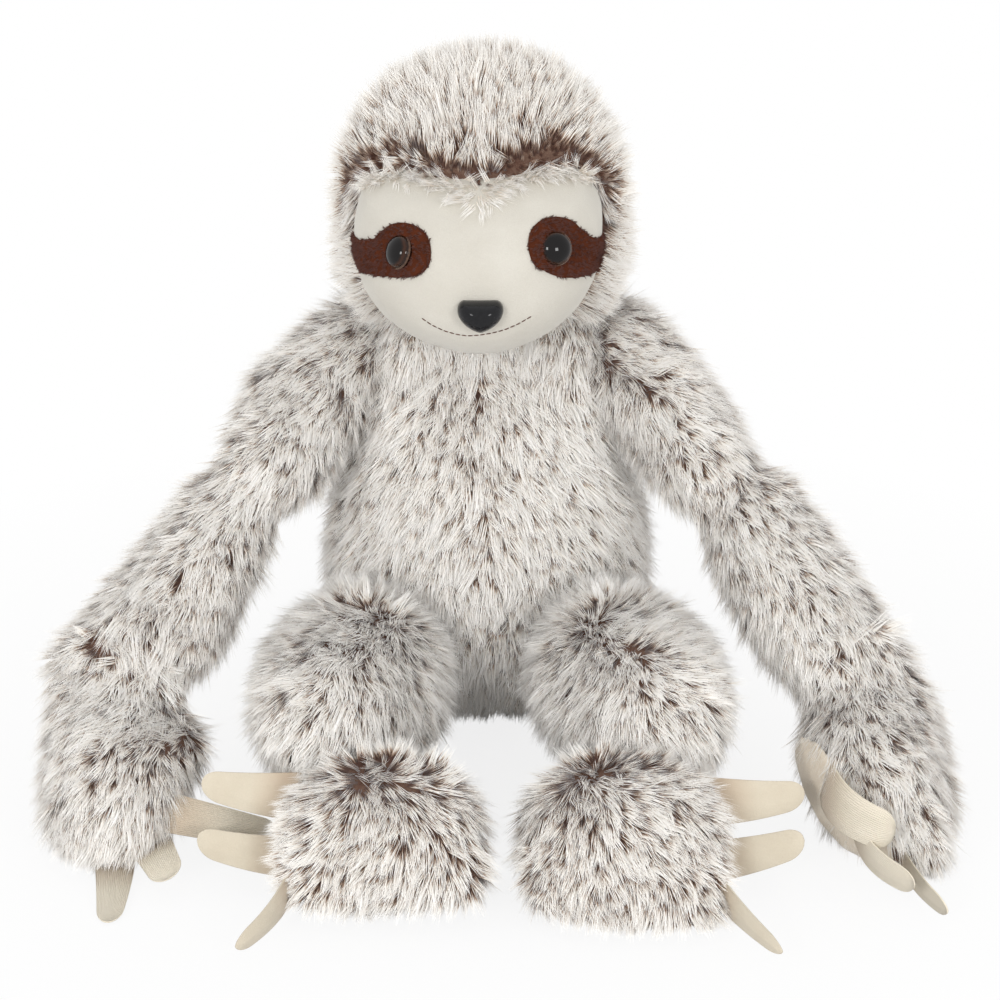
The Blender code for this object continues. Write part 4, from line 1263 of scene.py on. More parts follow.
        carrier = bpy.data.objects.new(name, skin.data.copy())
        bpy.context.scene.collection.objects.link(carrier)
        modifier = carrier.modifiers.new("pile", "NODES")
        modifier.node_group = self.tree
        fill_sockets(
            modifier,
            {
                "Spacing": coat.spacing, "Length": coat.length, "Disorder": self.disorder, "Seed": coat.seed,
                "Locks": self.locks, "Material": coat.finish.material(),
            },
        )
        settled(carrier)
        drop_attributes(carrier.data, (*values, "tone", "strand", "along"))
        drop_attributes(skin.data, tuple(values))
        carrier.data.shade_flat()
        return carrier

    def clear(self) -> None:
        """Remove the locks, which are no pieces of the toy."""
        for lock in list(self.locks.objects):
            bpy.data.objects.remove(lock)
        bpy.data.collections.remove(self.locks)


def seen_ray(px: float, py: float) -> tuple[Vector, Vector]:
    """Give the line of sight through a point of the picture, which is 1000 wide and high.

    Args:
        px: The point's place from the left.
        py: Its place from the top.

    Returns:
        The line's start and its unit direction.
    """
    view = StudioView()
    spread = view.sensor / view.lens / view.picture
    half = view.picture / 2
    way = view.forward + Vector((1, 0, 0)) * (px - half) * spread + view.up * (half - py) * spread
    return Vector(view.place), way.normalized()


def place_at(px: float, py: float, depth: float) -> Vector:
    """Give the point that shows at a place in the picture and lies at a given Y."""
    start, way = seen_ray(px, py)
    return start + way * ((depth - start.y) / way.y)


def seen_point(tree: BVHTree, px: float, py: float) -> Vector:
    """Find the point of a surface that shows at a place in the picture.

    Args:
        tree: The surface.
        px: The place from the left.
        py: The place from the top.

    Returns:
        The point, or the nearest one where the line of sight misses the surface.
    """
    start, way = seen_ray(px, py)
    hit = tree.ray_cast(start, way)[0]
    if hit is not None:
        return hit
    near = tree.find_nearest(start + way * StudioView().distance)[0]
    return tree.find_nearest(start + way * (near - start).dot(way))[0]


def picture_places(points: np.ndarray) -> np.ndarray:
    """Give where points show in the picture, in its 1000 by 1000 units."""
    view = StudioView()
    offset = points - np.array(view.place)
    deep = offset @ np.array(view.forward)
    scale = view.picture * view.lens / view.sensor / deep
    half = view.picture / 2
    return np.stack((half + offset[:, 0] * scale, half - (offset @ np.array(view.up)) * scale), axis=1)


@dataclass(frozen=True)
class StudioView:
    """The camera's place and lens."""

    place: tuple[float, float, float] = (0.006, -1.1726, 0.5915)
    elevation_degrees: float = 22.0
    distance: float = 1.2
    lens: float = 96.0
    sensor: float = 36.0
    picture: float = 1000.0

    @property
    def forward(self) -> Vector:
        """Which way the camera looks."""
        lean = math.radians(self.elevation_degrees)
        return Vector((0, math.cos(lean), -math.sin(lean)))

    @property
    def up(self) -> Vector:
        """Which way is up in the picture."""
        lean = math.radians(self.elevation_degrees)
        return Vector((0, math.sin(lean), math.cos(lean)))


@dataclass(frozen=True)
class Stroke:
    """A stroke of the comb, from its start to its end in the picture."""

    start: Pixel
    end: Pixel
    reach: float
    pull: float = 2.2

    def on(self, skin: Thing) -> Nap:
        """Lay the stroke on the skin that shows there."""
        tree = tree_of(skin)
        first, last = seen_point(tree, *self.start), seen_point(tree, *self.end)
        return Nap(first.lerp(last, 0.5), last - first, self.reach, self.pull)


@dataclass(frozen=True)
class Parting:
    """A parting of the pile along a line of the picture."""

    line: Pixels
    reach: float
    depth: float
    pull: float = 3.0
    bare: float = 0.0

    def on(self, skin: Thing) -> Whorl:
        """Lay the parting on the skin that shows there."""
        tree = tree_of(skin)
        line = tuple(seen_point(tree, *place) for place in self.line)
        return Whorl(line, self.reach, self.depth, self.pull, self.bare)


@dataclass(frozen=True)
class Bulge:
    """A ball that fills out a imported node, where it shows in the picture and at its depth."""

    node: str
    spot: Pixel
    depth: float
    radius: float

    def on(self, label: Callable[[str], str]) -> tuple[str, Vector, float]:
        """Give the node's full name, the ball's middle and its radius."""
        return label(self.node), place_at(*self.spot, self.depth), self.radius


@dataclass
class Hide:
    """A stuffed member as it shows: a knitted backing, filled, with pile on it."""

    maker: PileMaker
    pressure: float = dataclasses.field(default=4.0, kw_only=True)

    def finish(
        self, skin: Thing, pile: Sequence[Thing], nodes: Sequence[str],
        body: str, blend: tuple[str, Vector, Vector] | None = None, fill: float = 0.65,
    ) -> None:
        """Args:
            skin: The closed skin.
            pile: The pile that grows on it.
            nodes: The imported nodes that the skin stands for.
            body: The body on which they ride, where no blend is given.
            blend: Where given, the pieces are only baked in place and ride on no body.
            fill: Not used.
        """
        dressed(skin, BACKING.material())
        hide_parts(*nodes)
        for piece in (skin, *pile):
            if blend is None:
                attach(piece, body)
            else:
                tuple(blend[1])
                tuple(blend[2])
                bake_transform(piece)
        grown = sum(len(piece.data.polygons) for piece in pile)
        LOG.info("%s: %d faces of skin, %d of pile", skin.name, len(skin.data.polygons), grown)


@dataclass
class Torso(Hide):
    """The stuffed trunk."""

    pile_length: float = 0.0165
    neck_radius: float = 0.030
    neck_place: tuple[float, float] = (-0.003, 0.211)
    tuck: float = 0.046
    tuck_height: float = 0.055
    tuck_from: float = 0.03
    tuck_over: float = 0.08
    strokes: tuple[Stroke, ...] = (
        Stroke((440, 440), (385, 530), 0.030),
        Stroke((525, 440), (590, 525), 0.030),
        Stroke((470, 560), (478, 650), 0.026),
        Stroke((400, 580), (445, 665), 0.024),
        Stroke((570, 570), (525, 655), 0.024),
        Stroke((480, 395), (480, 450), 0.014),
    )
    partings: tuple[Parting, ...] = (
        Parting(((480, 380), (474, 440)), 0.016, 0.30, 0.4),
        Parting(((484, 500), (484, 530), (488, 560)), 0.010, 0.55, 0.8),
        Parting(((420, 416), (450, 406), (480, 410), (510, 414)), 0.012, 0.6, 0.8),
        Parting(((545, 445), (560, 462)), 0.014, 0.5, 0.6),
    )

    def skin(self) -> Thing:
        """Make the trunk's skin, which reaches up into the hood as a neck."""
        across = (-self.neck_radius, 0.0, self.neck_radius)
        neck = tuple(("torso_skin", Vector((x, *self.neck_place)), self.neck_radius) for x in across)
        trunk = Skin("torso_hide", ("torso_skin",), swell=neck, shape=self.tucked, pressure=self.pressure)
        return trunk.build()

    def tucked(self, points: np.ndarray) -> np.ndarray:
        """Draw the trunk's lower front in, so that it sits on a rounded seat."""
        found = points.copy()
        low = np.clip((self.tuck_height - points[:, 2]) / self.tuck_height, 0.0, 1.0) ** 1.6
        front = np.clip((self.tuck_from - points[:, 1]) / self.tuck_over, 0.0, 1.0)
        found[:, 1] += self.tuck * low * front
        return found

    def build(self, skin: Thing, neighbours: Sequence[Thing]) -> None:
        """Grow the trunk's pile in two front and two back pieces, and hang it all on the torso."""
        coat = Coat(
            Vector((0, 0, -1)), tuple(stroke.on(skin) for stroke in self.strokes),
            tuple(parting.on(skin) for parting in self.partings), length=self.pile_length, seed=3,
        )
        middle = box_place("torso_skin", (0.5, 0.55, 0.5))
        pile = []
        for label, way in (("front", Vector((0, -1, 0))), ("back", Vector((0, 1, 0)))):
            for side in Side:
                cuts = ((middle, way), (middle, Vector((side.way, 0, 0))))
                part = piece_between(f"torso_{label}", skin, cuts)
                pile.append(self.maker.grow(f"torso_{side.value}_{label}_pile", part, coat, neighbours))
                bpy.data.objects.remove(part)
        self.finish(skin, pile, ("torso_skin", "torso_filling", "seat_pellet_bag"), "torso", fill=0.6)


@dataclass
class Head(Hide):
    """The stuffed head: its piled hood, its face, and what is set in that.

    Places and lines are those of the picture, and so are the fringe's widths and heights. The toy's right
    comes first in each pair.
    """

    pile_length: float = 0.0165
    cheek_x: tuple[float, float] = (-0.049, 0.044)
    jaw_x: tuple[float, float] = (380, 586)
    strokes: tuple[Stroke, ...] = (
        Stroke((480, 150), (480, 95), 0.030),
        Stroke((420, 140), (400, 90), 0.026),
        Stroke((545, 135), (570, 85), 0.026),
        Stroke((360, 230), (335, 235), 0.026),
        Stroke((605, 220), (630, 225), 0.026),
        Stroke((375, 320), (350, 350), 0.026),
        Stroke((590, 315), (612, 345), 0.026),
    )
    hairline: Pixels = (
        (356, 178), (374, 164), (400, 160), (431, 167), (456, 178), (479, 190), (506, 172), (531, 162),
        (556, 155), (582, 159), (600, 176),
    )
    temples: tuple[Pixels, Pixels] = (
        ((356, 178), (348, 205), (347, 235)), ((600, 176), (607, 205), (608, 238))
    )
    underpile_half: float = 0.0058
    fringe_middle: float = 476
    fringe_half: float = 112
    fringe_rise: float = 4.0
    fringe_drop: float = 24.0
    fringe_fade: float = 8.0
    peak_drop: float = 1.0
    peak_fade: float = 3.0
    patch_outlines: tuple[Pixels, Pixels] = (
        (
            (352, 240), (364, 240), (375, 239), (383, 231), (391, 225), (401, 223), (413, 225), (423, 231),
            (429, 240), (431, 252), (430, 263), (425, 271), (416, 275.5), (403, 277), (388, 276), (373, 274),
            (361, 271), (356, 262), (353, 250),
        ),
        (
            (605, 239.5), (597, 239.5), (588, 236), (579, 228), (572, 221), (562, 217.5), (551, 217.5),
            (540, 221), (531, 230), (528, 243), (530, 256), (535, 266), (545, 271), (556, 276), (569, 277.5),
            (584, 275), (598, 270.5), (602.5, 260), (604.5, 249),
        ),
    )
    patch_hearts: tuple[Pixel, Pixel] = ((392, 251), (565, 248))
    patch_thick: float = 0.0011
    patch_under: float = 0.0014
    patch_roll: tuple[tuple[float, float], ...] = ((1.0, 0.62), (1.0, 0.1), (1.0, -1.0), (0.5, -1.0))
    face_sides: tuple[float, float] = (374.0, 584.0)
    side_facing: float = 0.35
    side_wrap: float = 0.0022
    corner_power: float = 2.9
    corner_from: float = 0.15
    corner_over: float = 0.5
    brow_lift: float = 0.03
    left_draw: float = 0.0042
    left_from: float = 0.012
    left_over: float = 0.062
    eye_marks: tuple[Pixel, Pixel] = ((400.5, 252), (554.5, 248.5))
    eye_radius: float = 0.0072
    eye_rise: float = 0.66
    eye_turn: float = 0.22
    eye_sunk: float = 0.0015
    eye_rim: tuple[tuple[float, float, float], ...] = (
        (-0.0010, 0.0, 0.80), (-0.0010, 0.90, 0.80), (0.0014, 1.02, 0.80), (0.0019, 1.07, 0.98),
        (0.0022, 1.06, 1.0), (0.0024, 0.99, 0.98),
    )
    eye_rings: int = 16
    eye_stem: float = 0.0016
    iris_edge: float = 0.955
    socket: float = 0.42
    socket_reach: float = 0.011
    nose_front: float = 0.006
    nose_shift: tuple[float, float, float] = (-0.0012, 0, -0.0013)
    nose_depth: float = 0.0085
    nose_lip: float = 0.002
    nose_heart: float = 0.12
    nose_round: float = 0.8
    nose_rings: int = 14
    nose_stem: float = 0.0022
    mouth_line: Pixels = (
        (424, 319.5), (432, 325), (445, 331), (458, 334.5), (468, 335.8), (479, 335), (492, 333),
        (505, 329.5), (518, 324), (530, 317),
    )

    def skin(self) -> Thing:
        """Make the hood's skin, filled out at the cheeks and the jaw."""
        cheeks = [("hood", Vector((x, -0.002, 0.242)), 0.024) for x in self.cheek_x]
        cheeks += [("hood", place_at(px, 294, -0.028), 0.015) for px in self.jaw_x]
        return Skin("hood_hide", ("hood",), swell=tuple(cheeks), pressure=self.pressure).build()

    def face(self) -> Thing:
        """Make the crowned face panel, with a socket round each eye that turns it outwards."""
        panel = Skin("face_hide", ("face_panel",), inset=0.0004, voxel=0.0018, rounds=12, shape=self.squared)
        made = panel.build()
        points = points_of(made.data)
        tree = tree_of(made)
        for side, mark in zip(Side, self.eye_marks):
            eye = seen_point(tree, *mark)
            inwards = -side.way * (points[:, 0] - eye.x)
            away = np.hypot(points[:, 0] - eye.x, points[:, 2] - eye.z)
            front = points[:, 1] < eye.y + FAR_OUT
            points[:, 1] -= self.socket * inwards * np.exp(-((away / self.socket_reach) ** 2)) * front
        put_points(made.data, points)
        return made

    def squared(self, points: np.ndarray) -> np.ndarray:
        """Fill out the face's two upper corners, lift its brow, and draw its left side in."""
        low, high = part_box("face_panel")
        middle = np.array(box_middle("face_panel"))
        wide, tall = (high.x - low.x) / 2, (high.z - low.z) / 2
        shares = np.stack(((points[:, 0] - middle[0]) / wide, (points[:, 2] - middle[2]) / tall), axis=1)
        angle = np.arctan2(shares[:, 1], shares[:, 0])
        power = self.corner_power
        fuller = (np.abs(np.cos(angle)) ** power + np.abs(np.sin(angle)) ** power) ** (-1 / power)
        upper = np.clip((shares[:, 1] - self.corner_from) / self.corner_over, 0.0, 1.0)
        factor = 1 + (fuller - 1) * upper
        found = points.copy()
        found[:, 0] = middle[0] + (points[:, 0] - middle[0]) * factor
        found[:, 2] = middle[2] + (points[:, 2] - middle[2]) * (factor + self.brow_lift * upper)
        found[:, 0] -= self.left_draw * np.clip((found[:, 0] + self.left_from) / self.left_over, 0.0, 1.0)
        return found

    def build(
        self, skin: Thing, face: Thing, neighbours: Sequence[Thing]
    ) -> None:
        """Grow the pile round the face, dress the face, and hang it all on the head."""
        pile = [*self.crown(skin, face, neighbours), *self.fringe(skin, face)]
        self.finish(skin, pile, ("hood", "head_filling"), "head", fill=0.7)
        dressed(face, FACE_CLOTH.material())
        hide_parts("face_panel")
        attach(face, "head")
        self.patches(face)
        self.eyes(face)
        self.nose()
        self.mouth(face)

    def crown(
        self, skin: Thing, face: Thing, neighbours: Sequence[Thing]
    ) -> list[Thing]:
        """Grow the hood's pile in two halves, and short dark pile along its parting."""
        line = Parting(self.hairline, 0.014, 1.0, 3.4, bare=0.0019).on(skin)
        lines = (line, *(Parting(temple, 0.010, 0.5, 2.0).on(skin) for temple in self.temples))
        centre = box_middle("face_panel")
        # Painted shade: pale=-0.48 and the shaded crown finish darken the hood's pile, against the light on
        # the head's top.
        coat = Coat(
            Vector((0, 0.4, -0.35)), tuple(stroke.on(skin) for stroke in self.strokes), lines,
            length=self.pile_length, seed=5, spring=centre, spring_pull=1.2, pale=-0.48, finish=SHADED_CROWN,
        )
        pile = []
        for side in Side:
            part = piece_between("hood_half", skin, ((centre, Vector((side.way, 0, 0))),))
            pile.append(self.maker.grow(f"hood_{side.value}_pile", part, coat, neighbours, bald=(face,)))
            bpy.data.objects.remove(part)
        under = dataclasses.replace(
            coat, whorls=(dataclasses.replace(line, bare=0.0),), length=0.0066, spacing=0.0013, seed=6,
            pale=0.0, finish=UNDERPILE,
        )
        away = np.linalg.norm(line.offsets(points_of(skin.data)), axis=1)
        near = np.exp(-((away / self.underpile_half) ** 4))
        pile.append(self.maker.grow("hood_underpile", skin, under, bald=(face,), mask=near))
        return pile

    def fringe(self, skin: Thing, face: Thing) -> list[Thing]:
        """Grow the pale fringe on the face under the hairline, and short dark pile above it."""
        coat = Coat(
            Vector((0, 0, -1)), (), (Parting(self.hairline, 0.0085, 0.3, 4.0).on(face),), length=0.0105,
            spacing=0.0018, seed=9, pale=0.2, finish=FRINGE,
        )
        seen = picture_places(points_of(face.data))
        xs, ys = zip(*self.hairline)
        below = seen[:, 1] - np.interp(seen[:, 0], xs, ys)
        across = np.abs(seen[:, 0] - self.fringe_middle) < self.fringe_half
        ending = np.clip((self.fringe_drop - below) / self.fringe_fade, 0.0, 1.0)
        starting = np.clip((below + self.fringe_rise) / self.fringe_rise, 0.0, 1.0)
        fringe = self.maker.grow("face_fringe", face, coat, (skin,), mask=ending * starting * across)
        peak = dataclasses.replace(coat, length=0.0062, spacing=0.0012, seed=8, pale=0.0, finish=UNDERPILE)
        mask = np.clip((self.peak_drop - below) / self.peak_fade, 0.0, 1.0) * across
        return [fringe, self.maker.grow("face_underpile", face, peak, (skin,), mask=mask)]

    def patches(self, face: Thing) -> None:
        """Cut the two dark patches to their outlines, lay them on the face, and raise their short pile."""
        tree = tree_of(face)
        clipped = PileMaker(0.0036, 0.0022, 0.0070, 0.0045, strands=5, lean_degrees=34.0)
        for side, outline, heart in zip(Side, self.patch_outlines, self.patch_hearts):
            node = f"{side.value}_eye_patch"
            patch, shown = self.patch(f"{node}_cloth", tree, outline, heart)
            coat = Coat(
                Vector((side.way, 0, -0.25)), length=0.0019, spacing=0.00098, waviness=0.6, seed=41, pale=0.1,
                finish=PATCH_PILE, slot="patch_pile",
            )
            pile = clipped.grow(f"{node}_pile", patch, coat, mask=shown)
            dressed(patch, PATCH_CLOTH.material())
            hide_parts(node)
            for piece in (patch, pile):
                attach(piece, "head")
            faces, grown = len(patch.data.polygons), len(pile.data.polygons)
            LOG.info("%s: %d faces, %d of pile", patch.name, faces, grown)
        clipped.clear()

    def laid(self, tree: BVHTree, px: float, py: float, step: float = 0.25, steps: int = 160) -> Vector:
        """Find a patch's point on the face, and lead it round where the face's side turns away.

        Args:
            tree: The face.
            px: The point's place from the left of the picture.
            py: Its place from the top.
            step: How far the search for a place that faces the camera goes inwards at a time.
            steps: How many times it goes inwards at most.

        Returns:
            The point.
        """
        if self.face_sides[0] < px < self.face_sides[1]:
            return seen_point(tree, px, py)
        edge, inwards = px, math.copysign(step, sum(self.face_sides) / 2 - px)
        for _ in range(steps):
            start, way = seen_ray(edge, py)
            hit, normal = tree.ray_cast(start, way)[:2]
            if hit is not None and -normal.dot(way) > self.side_facing:
                break
            edge += inwards
        place = seen_point(tree, edge, py) + Vector((0, abs(px - edge) * self.side_wrap, 0))
        return tree.find_nearest(place)[0]

    def patch(
        self, name: str, tree: BVHTree, outline: Pixels, heart: Pixel, around: int = 132, rings: int = 16
    ) -> tuple[Thing, np.ndarray]:
        """Make a patch of cloth with a rolled edge.

        Args:
            name: The object's name.
            tree: The face that it lies on.
            outline: The patch's outline in the picture.
            heart: A place inside it, from which every corner is seen.
            around: How many steps the outline has.
            rings: How many rings lie inside it.

        Returns:
            The closed patch, and for each of its points whether pile grows there.
        """
        marks = [Vector(mark) - Vector(heart) for mark in outline]
        angles = np.array([math.atan2(mark.y, mark.x) for mark in marks])
        order = np.argsort(angles)
        angles, far = angles[order], np.array([marks[i].length for i in order])
        places = np.linspace(-math.pi, math.pi, around, endpoint=False)
        far = np.interp(places, angles, far, period=FULL_TURN)
        far = (np.roll(far, 1) + 2 * far + np.roll(far, -1)) / 4
        bm = bmesh.new()
        rows, kept = [], []
        for share, height in (*(((k + 1) / rings, 1.0) for k in range(rings - 1)), *self.patch_roll):
            row = []
            for angle, reach in zip(places, far):
                px = heart[0] + math.cos(angle) * reach * share
                py = heart[1] + math.sin(angle) * reach * share
                place = self.laid(tree, px, py)
                normal = tree.find_nearest(place)[1]
                rise = height * (self.patch_thick if height > 0 else self.patch_under)
                row.append(bm.verts.new(place + normal * rise))
                kept.append(float(height > 0))
            rows.append(row)
        for inner, outer in zip(rows, rows[1:]):
            bridge(bm, inner, outer)
        for row, height in ((rows[0], self.patch_thick), (rows[-1], -self.patch_under)):
            place = seen_point(tree, *heart)
            hub = bm.verts.new(place + tree.find_nearest(place)[1] * height)
            kept.append(float(height > 0))
            fan(bm, row, hub)
        bmesh.ops.recalc_face_normals(bm, faces=bm.faces)
        return object_from(name, bm), np.array(kept)

    def eyes(self, face: Thing) -> None:
        """Mould each eye with its dome turned outwards on a straight stem."""
        tree = tree_of(face)
        top, edge, _ = self.eye_rim[-1]
        for side, mark in zip(Side, self.eye_marks):
            washer = box_middle(f"{side.value}_eye_washer")
            seat = seen_point(tree, *mark)
            shank = (seat - washer).normalized()
            axis = (shank + Vector((side.way * self.eye_turn, 0, 0))).normalized()
            radius, rise = self.eye_radius, self.eye_radius * self.eye_rise
            profile = [(height, radius * wide, tone) for height, wide, tone in self.eye_rim]
            for step in range(1, self.eye_rings + 1):
                angle = math.pi / 2 * step / self.eye_rings
                share = math.cos(angle)
                profile.append((top + rise * math.sin(angle), radius * edge * share, share * self.iris_edge))
            dome = revolved(f"{side.value}_eye_dome", seat - axis * self.eye_sunk, axis, profile, 64)
            depth = min((Vector(point) - washer).dot(shank) for point in node_points(f"{side.value}_eye"))
            end, wide = (seat - washer).length, self.eye_stem
            rod = [(depth, 0, 1), (depth, wide, 1), (end, wide, 1), (end, 0, 1)]
            stem = revolved("stem", washer, shank, rod, 24)
            bm = bmesh.new()
            bm.from_mesh(dome.data)
            bm.from_mesh(stem.data)
            bm.to_mesh(dome.data)
            bm.free()
            bpy.data.objects.remove(stem)
            dome.data.shade_smooth()
            dressed(dome, IRIS.material())
            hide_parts(f"{side.value}_eye")
            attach(dome, "head")
            dressed(frame["nodes"][f"{side.value}_eye_washer"], WASHER.material())

    def nose(self, around: int = 72) -> None:
        """Mould the nose: a rounded triangle, point down, domed, with a stem of as many steps around."""
        low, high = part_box("nose")
        points = node_points("nose")
        front = points[points[:, 1] < points[:, 1].min() + self.nose_front]
        centre = Vector((front[:, 0].min() + front[:, 0].max(), 0, front[:, 2].min() + front[:, 2].max())) / 2
        centre += Vector(self.nose_shift)
        half_wide, half_high = (high.x - low.x) / 2, (high.z - low.z) / 2
        outline, heart = nose_outline(around), Vector((0.0, self.nose_heart))
        seat = low.y + self.nose_depth
        back = seat + self.nose_lip
        angles = [math.pi / 2 * k / self.nose_rings for k in range(1, self.nose_rings)]
        steps = [(1.0, back), (1.0, seat)]
        steps += [(math.cos(a) ** self.nose_round, seat - (seat - low.y) * math.sin(a)) for a in angles]
        bm = bmesh.new()
        rings = []
        for share, y in steps:
            ring = []
            for corner in outline:
                place = heart + (corner - heart) * share
                ring.append(bm.verts.new((centre.x + place.x * half_wide, y, centre.z + place.y * half_high)))
            rings.append(ring)
        for first, second in zip(rings, rings[1:]):
            bridge(bm, first, second)
        fan(bm, rings[-1], bm.verts.new((centre.x, low.y, centre.z + self.nose_heart * half_high)))
        stem = []
        for i in range(around):
            angle = FULL_TURN * i / around
            x, z = math.cos(angle) * self.nose_stem, math.sin(angle) * self.nose_stem
            stem.append(bm.verts.new((centre.x + x, back, centre.z + z)))
        end = [bm.verts.new((vertex.co.x, high.y, vertex.co.z)) for vertex in stem]
        for i in range(around):
            j = (i + 1) % around
            bm.faces.new((rings[0][j], rings[0][i], stem[i], stem[j]))
            bm.faces.new((stem[j], stem[i], end[i], end[j]))
        bm.faces.new(end)
        bmesh.ops.recalc_face_normals(bm, faces=bm.faces)
        nose = object_from("nose_moulding", bm)
        dressed(nose, NOSE_GLOSS.material())
        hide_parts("nose")
        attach(nose, "head")
        dressed(frame["nodes"]["nose_washer"], WASHER.material())

    def mouth(self, face: Thing, steps: int = 12) -> None:
        """Sew the smile with single stitches along a line on the face."""
        tree = tree_of(face)
        marks = [Vector((*place, 0)) for place in self.mouth_line]
        path = []
        for first, second in zip(marks, marks[1:]):
            for step in range(steps):
                flat = first.lerp(second, step / steps)
                path.append(seen_point(tree, flat.x, flat.y))
        stitches("mouth_stitches", smoothed_path(path, 6), tree, length=0.0021, pitch=0.0026, width=0.00055)


def nose_outline(around: int, shoulder: float = 0.30, brow: float = 0.66) -> list[Vector]:
    """Give a nose's outline in a square of one each way: broad above, with a blunt point below.

    Args:
        around: How many points it has.
        shoulder: How far down, as a share of its height, it is widest.
        brow: How wide its top edge is, as a share of its width.

    Returns:
        The points, anticlockwise.
    """
    side = []
    for down in np.arange(121) / 120:
        if down < shoulder:
            wide = brow + (1 - brow) * math.sqrt(1 - (1 - down / shoulder) ** 2)
        else:
            wide = (1 - ((down - shoulder) / (1 - shoulder)) ** 2.0) ** 0.74
        side.append(Vector((wide, 1 - 2 * down)))
    ring = [Vector((-point.x, point.y)) for point in side[1:-1]] + [Vector(point) for point in reversed(side)]
    widest = max(point.x for point in ring)
    angles = np.unwrap([math.atan2(point.y, point.x) for point in ring])
    places = np.linspace(angles[0], angles[0] + FULL_TURN, around, endpoint=False)
    round_angles = np.append(angles, angles[0] + FULL_TURN)
    xs, ys = (np.interp(places, round_angles, [*(point[k] for point in ring), ring[0][k]]) for k in (0, 1))
    return [Vector((x / widest, y)) for x, y in zip(xs, ys)]


def revolved(
    name: str, base: Vector, axis: Vector, profile: Sequence[tuple[float, float, float]], around: int
) -> Thing:
    """Turn a profile round an axis, with a map of the angle and the share that it gives.

    Args:
        name: The object's name.
        base: The point from which the profile's places are measured.
        axis: The axis.
        profile: Each point's place along the axis, its radius, and its share for the map.
        around: How many steps a turn has.

    Returns:
        The closed object.
    """
    turn = rotation_between(axis, Vector((0, 0, 1)))
    bm = bmesh.new()
    layer = bm.loops.layers.uv.new(FUR_MAP)
    rings = []
    for along, radius, _ in profile:
        if radius < 1e-6:
            rings.append([bm.verts.new(base + axis * along)] * around)
            continue
        ring = []
        for i in range(around):
            angle = FULL_TURN * i / around
            offset = turn @ Vector((math.cos(angle) * radius, math.sin(angle) * radius, along))
            ring.append(bm.verts.new(base + offset))
        rings.append(ring)
    for k in range(len(rings) - 1):
        for i in range(around):
            j = (i + 1) % around
            corners = (
                (rings[k][i], i, k), (rings[k][j], i + 1, k), (rings[k + 1][j], i + 1, k + 1),
                (rings[k + 1][i], i, k + 1),
            )
            kept = []
            for corner in corners:
                if corner[0] not in [other[0] for other in kept]:
                    kept.append(corner)
            face = bm.faces.new([corner[0] for corner in kept])
            for loop, (_, step, row) in zip(face.loops, kept):
                loop[layer].uv = (step / around, profile[row][2])
    bmesh.ops.recalc_face_normals(bm, faces=bm.faces)
    return object_from(name, bm)


def smoothed_path(path: Sequence[Vector], rounds: int) -> list[Vector]:
    """Smooth a path, keeping its ends."""
    points = [Vector(point) for point in path]
    for _ in range(rounds):
        points[1:-1] = [(a + b + c) / 3 for a, b, c in zip(points, points[1:], points[2:])]
    return points


def stitch_tree() -> bpy.types.NodeTree:
    """Make or find the node tree that lays stitches end to end along a line."""
    found = bpy.data.node_groups.get("stitches")
    if found:
        return found
    tree = bpy.data.node_groups.new("stitches", "GeometryNodeTree")
    tree.interface.new_socket("Geometry", in_out="INPUT", socket_type="NodeSocketGeometry")
    for label, kind in (
        ("Pitch", "NodeSocketFloat"), ("Stitch", "NodeSocketObject"), ("Material", "NodeSocketMaterial")
    ):
        tree.interface.new_socket(label, in_out="INPUT", socket_type=kind)
    tree.interface.new_socket("Geometry", in_out="OUTPUT", socket_type="NodeSocketGeometry")
    nodes = Shader(tree)
    ins, outs = nodes.add("NodeGroupInput").outputs, nodes.add("NodeGroupOutput")
    line = nodes.add("GeometryNodeMeshToCurve", Mesh=ins["Geometry"])
    spaced = nodes.add(
        "GeometryNodeCurveToPoints", {"mode": "LENGTH"}, Curve=line.outputs[0], Length=ins["Pitch"]
    )
    stitch = nodes.add("GeometryNodeObjectInfo", Object=ins["Stitch"])
    placed = nodes.add(
        "GeometryNodeInstanceOnPoints", Points=spaced.outputs["Points"], Instance=stitch.outputs["Geometry"],
        Rotation=spaced.outputs["Rotation"],
    )
    real = nodes.add("GeometryNodeRealizeInstances", Geometry=placed.outputs[0])
    finish = nodes.add("GeometryNodeSetMaterial", Geometry=real.outputs[0], Material=ins["Material"])
    nodes.feed(outs.inputs[0], finish.outputs[0])
    return tree


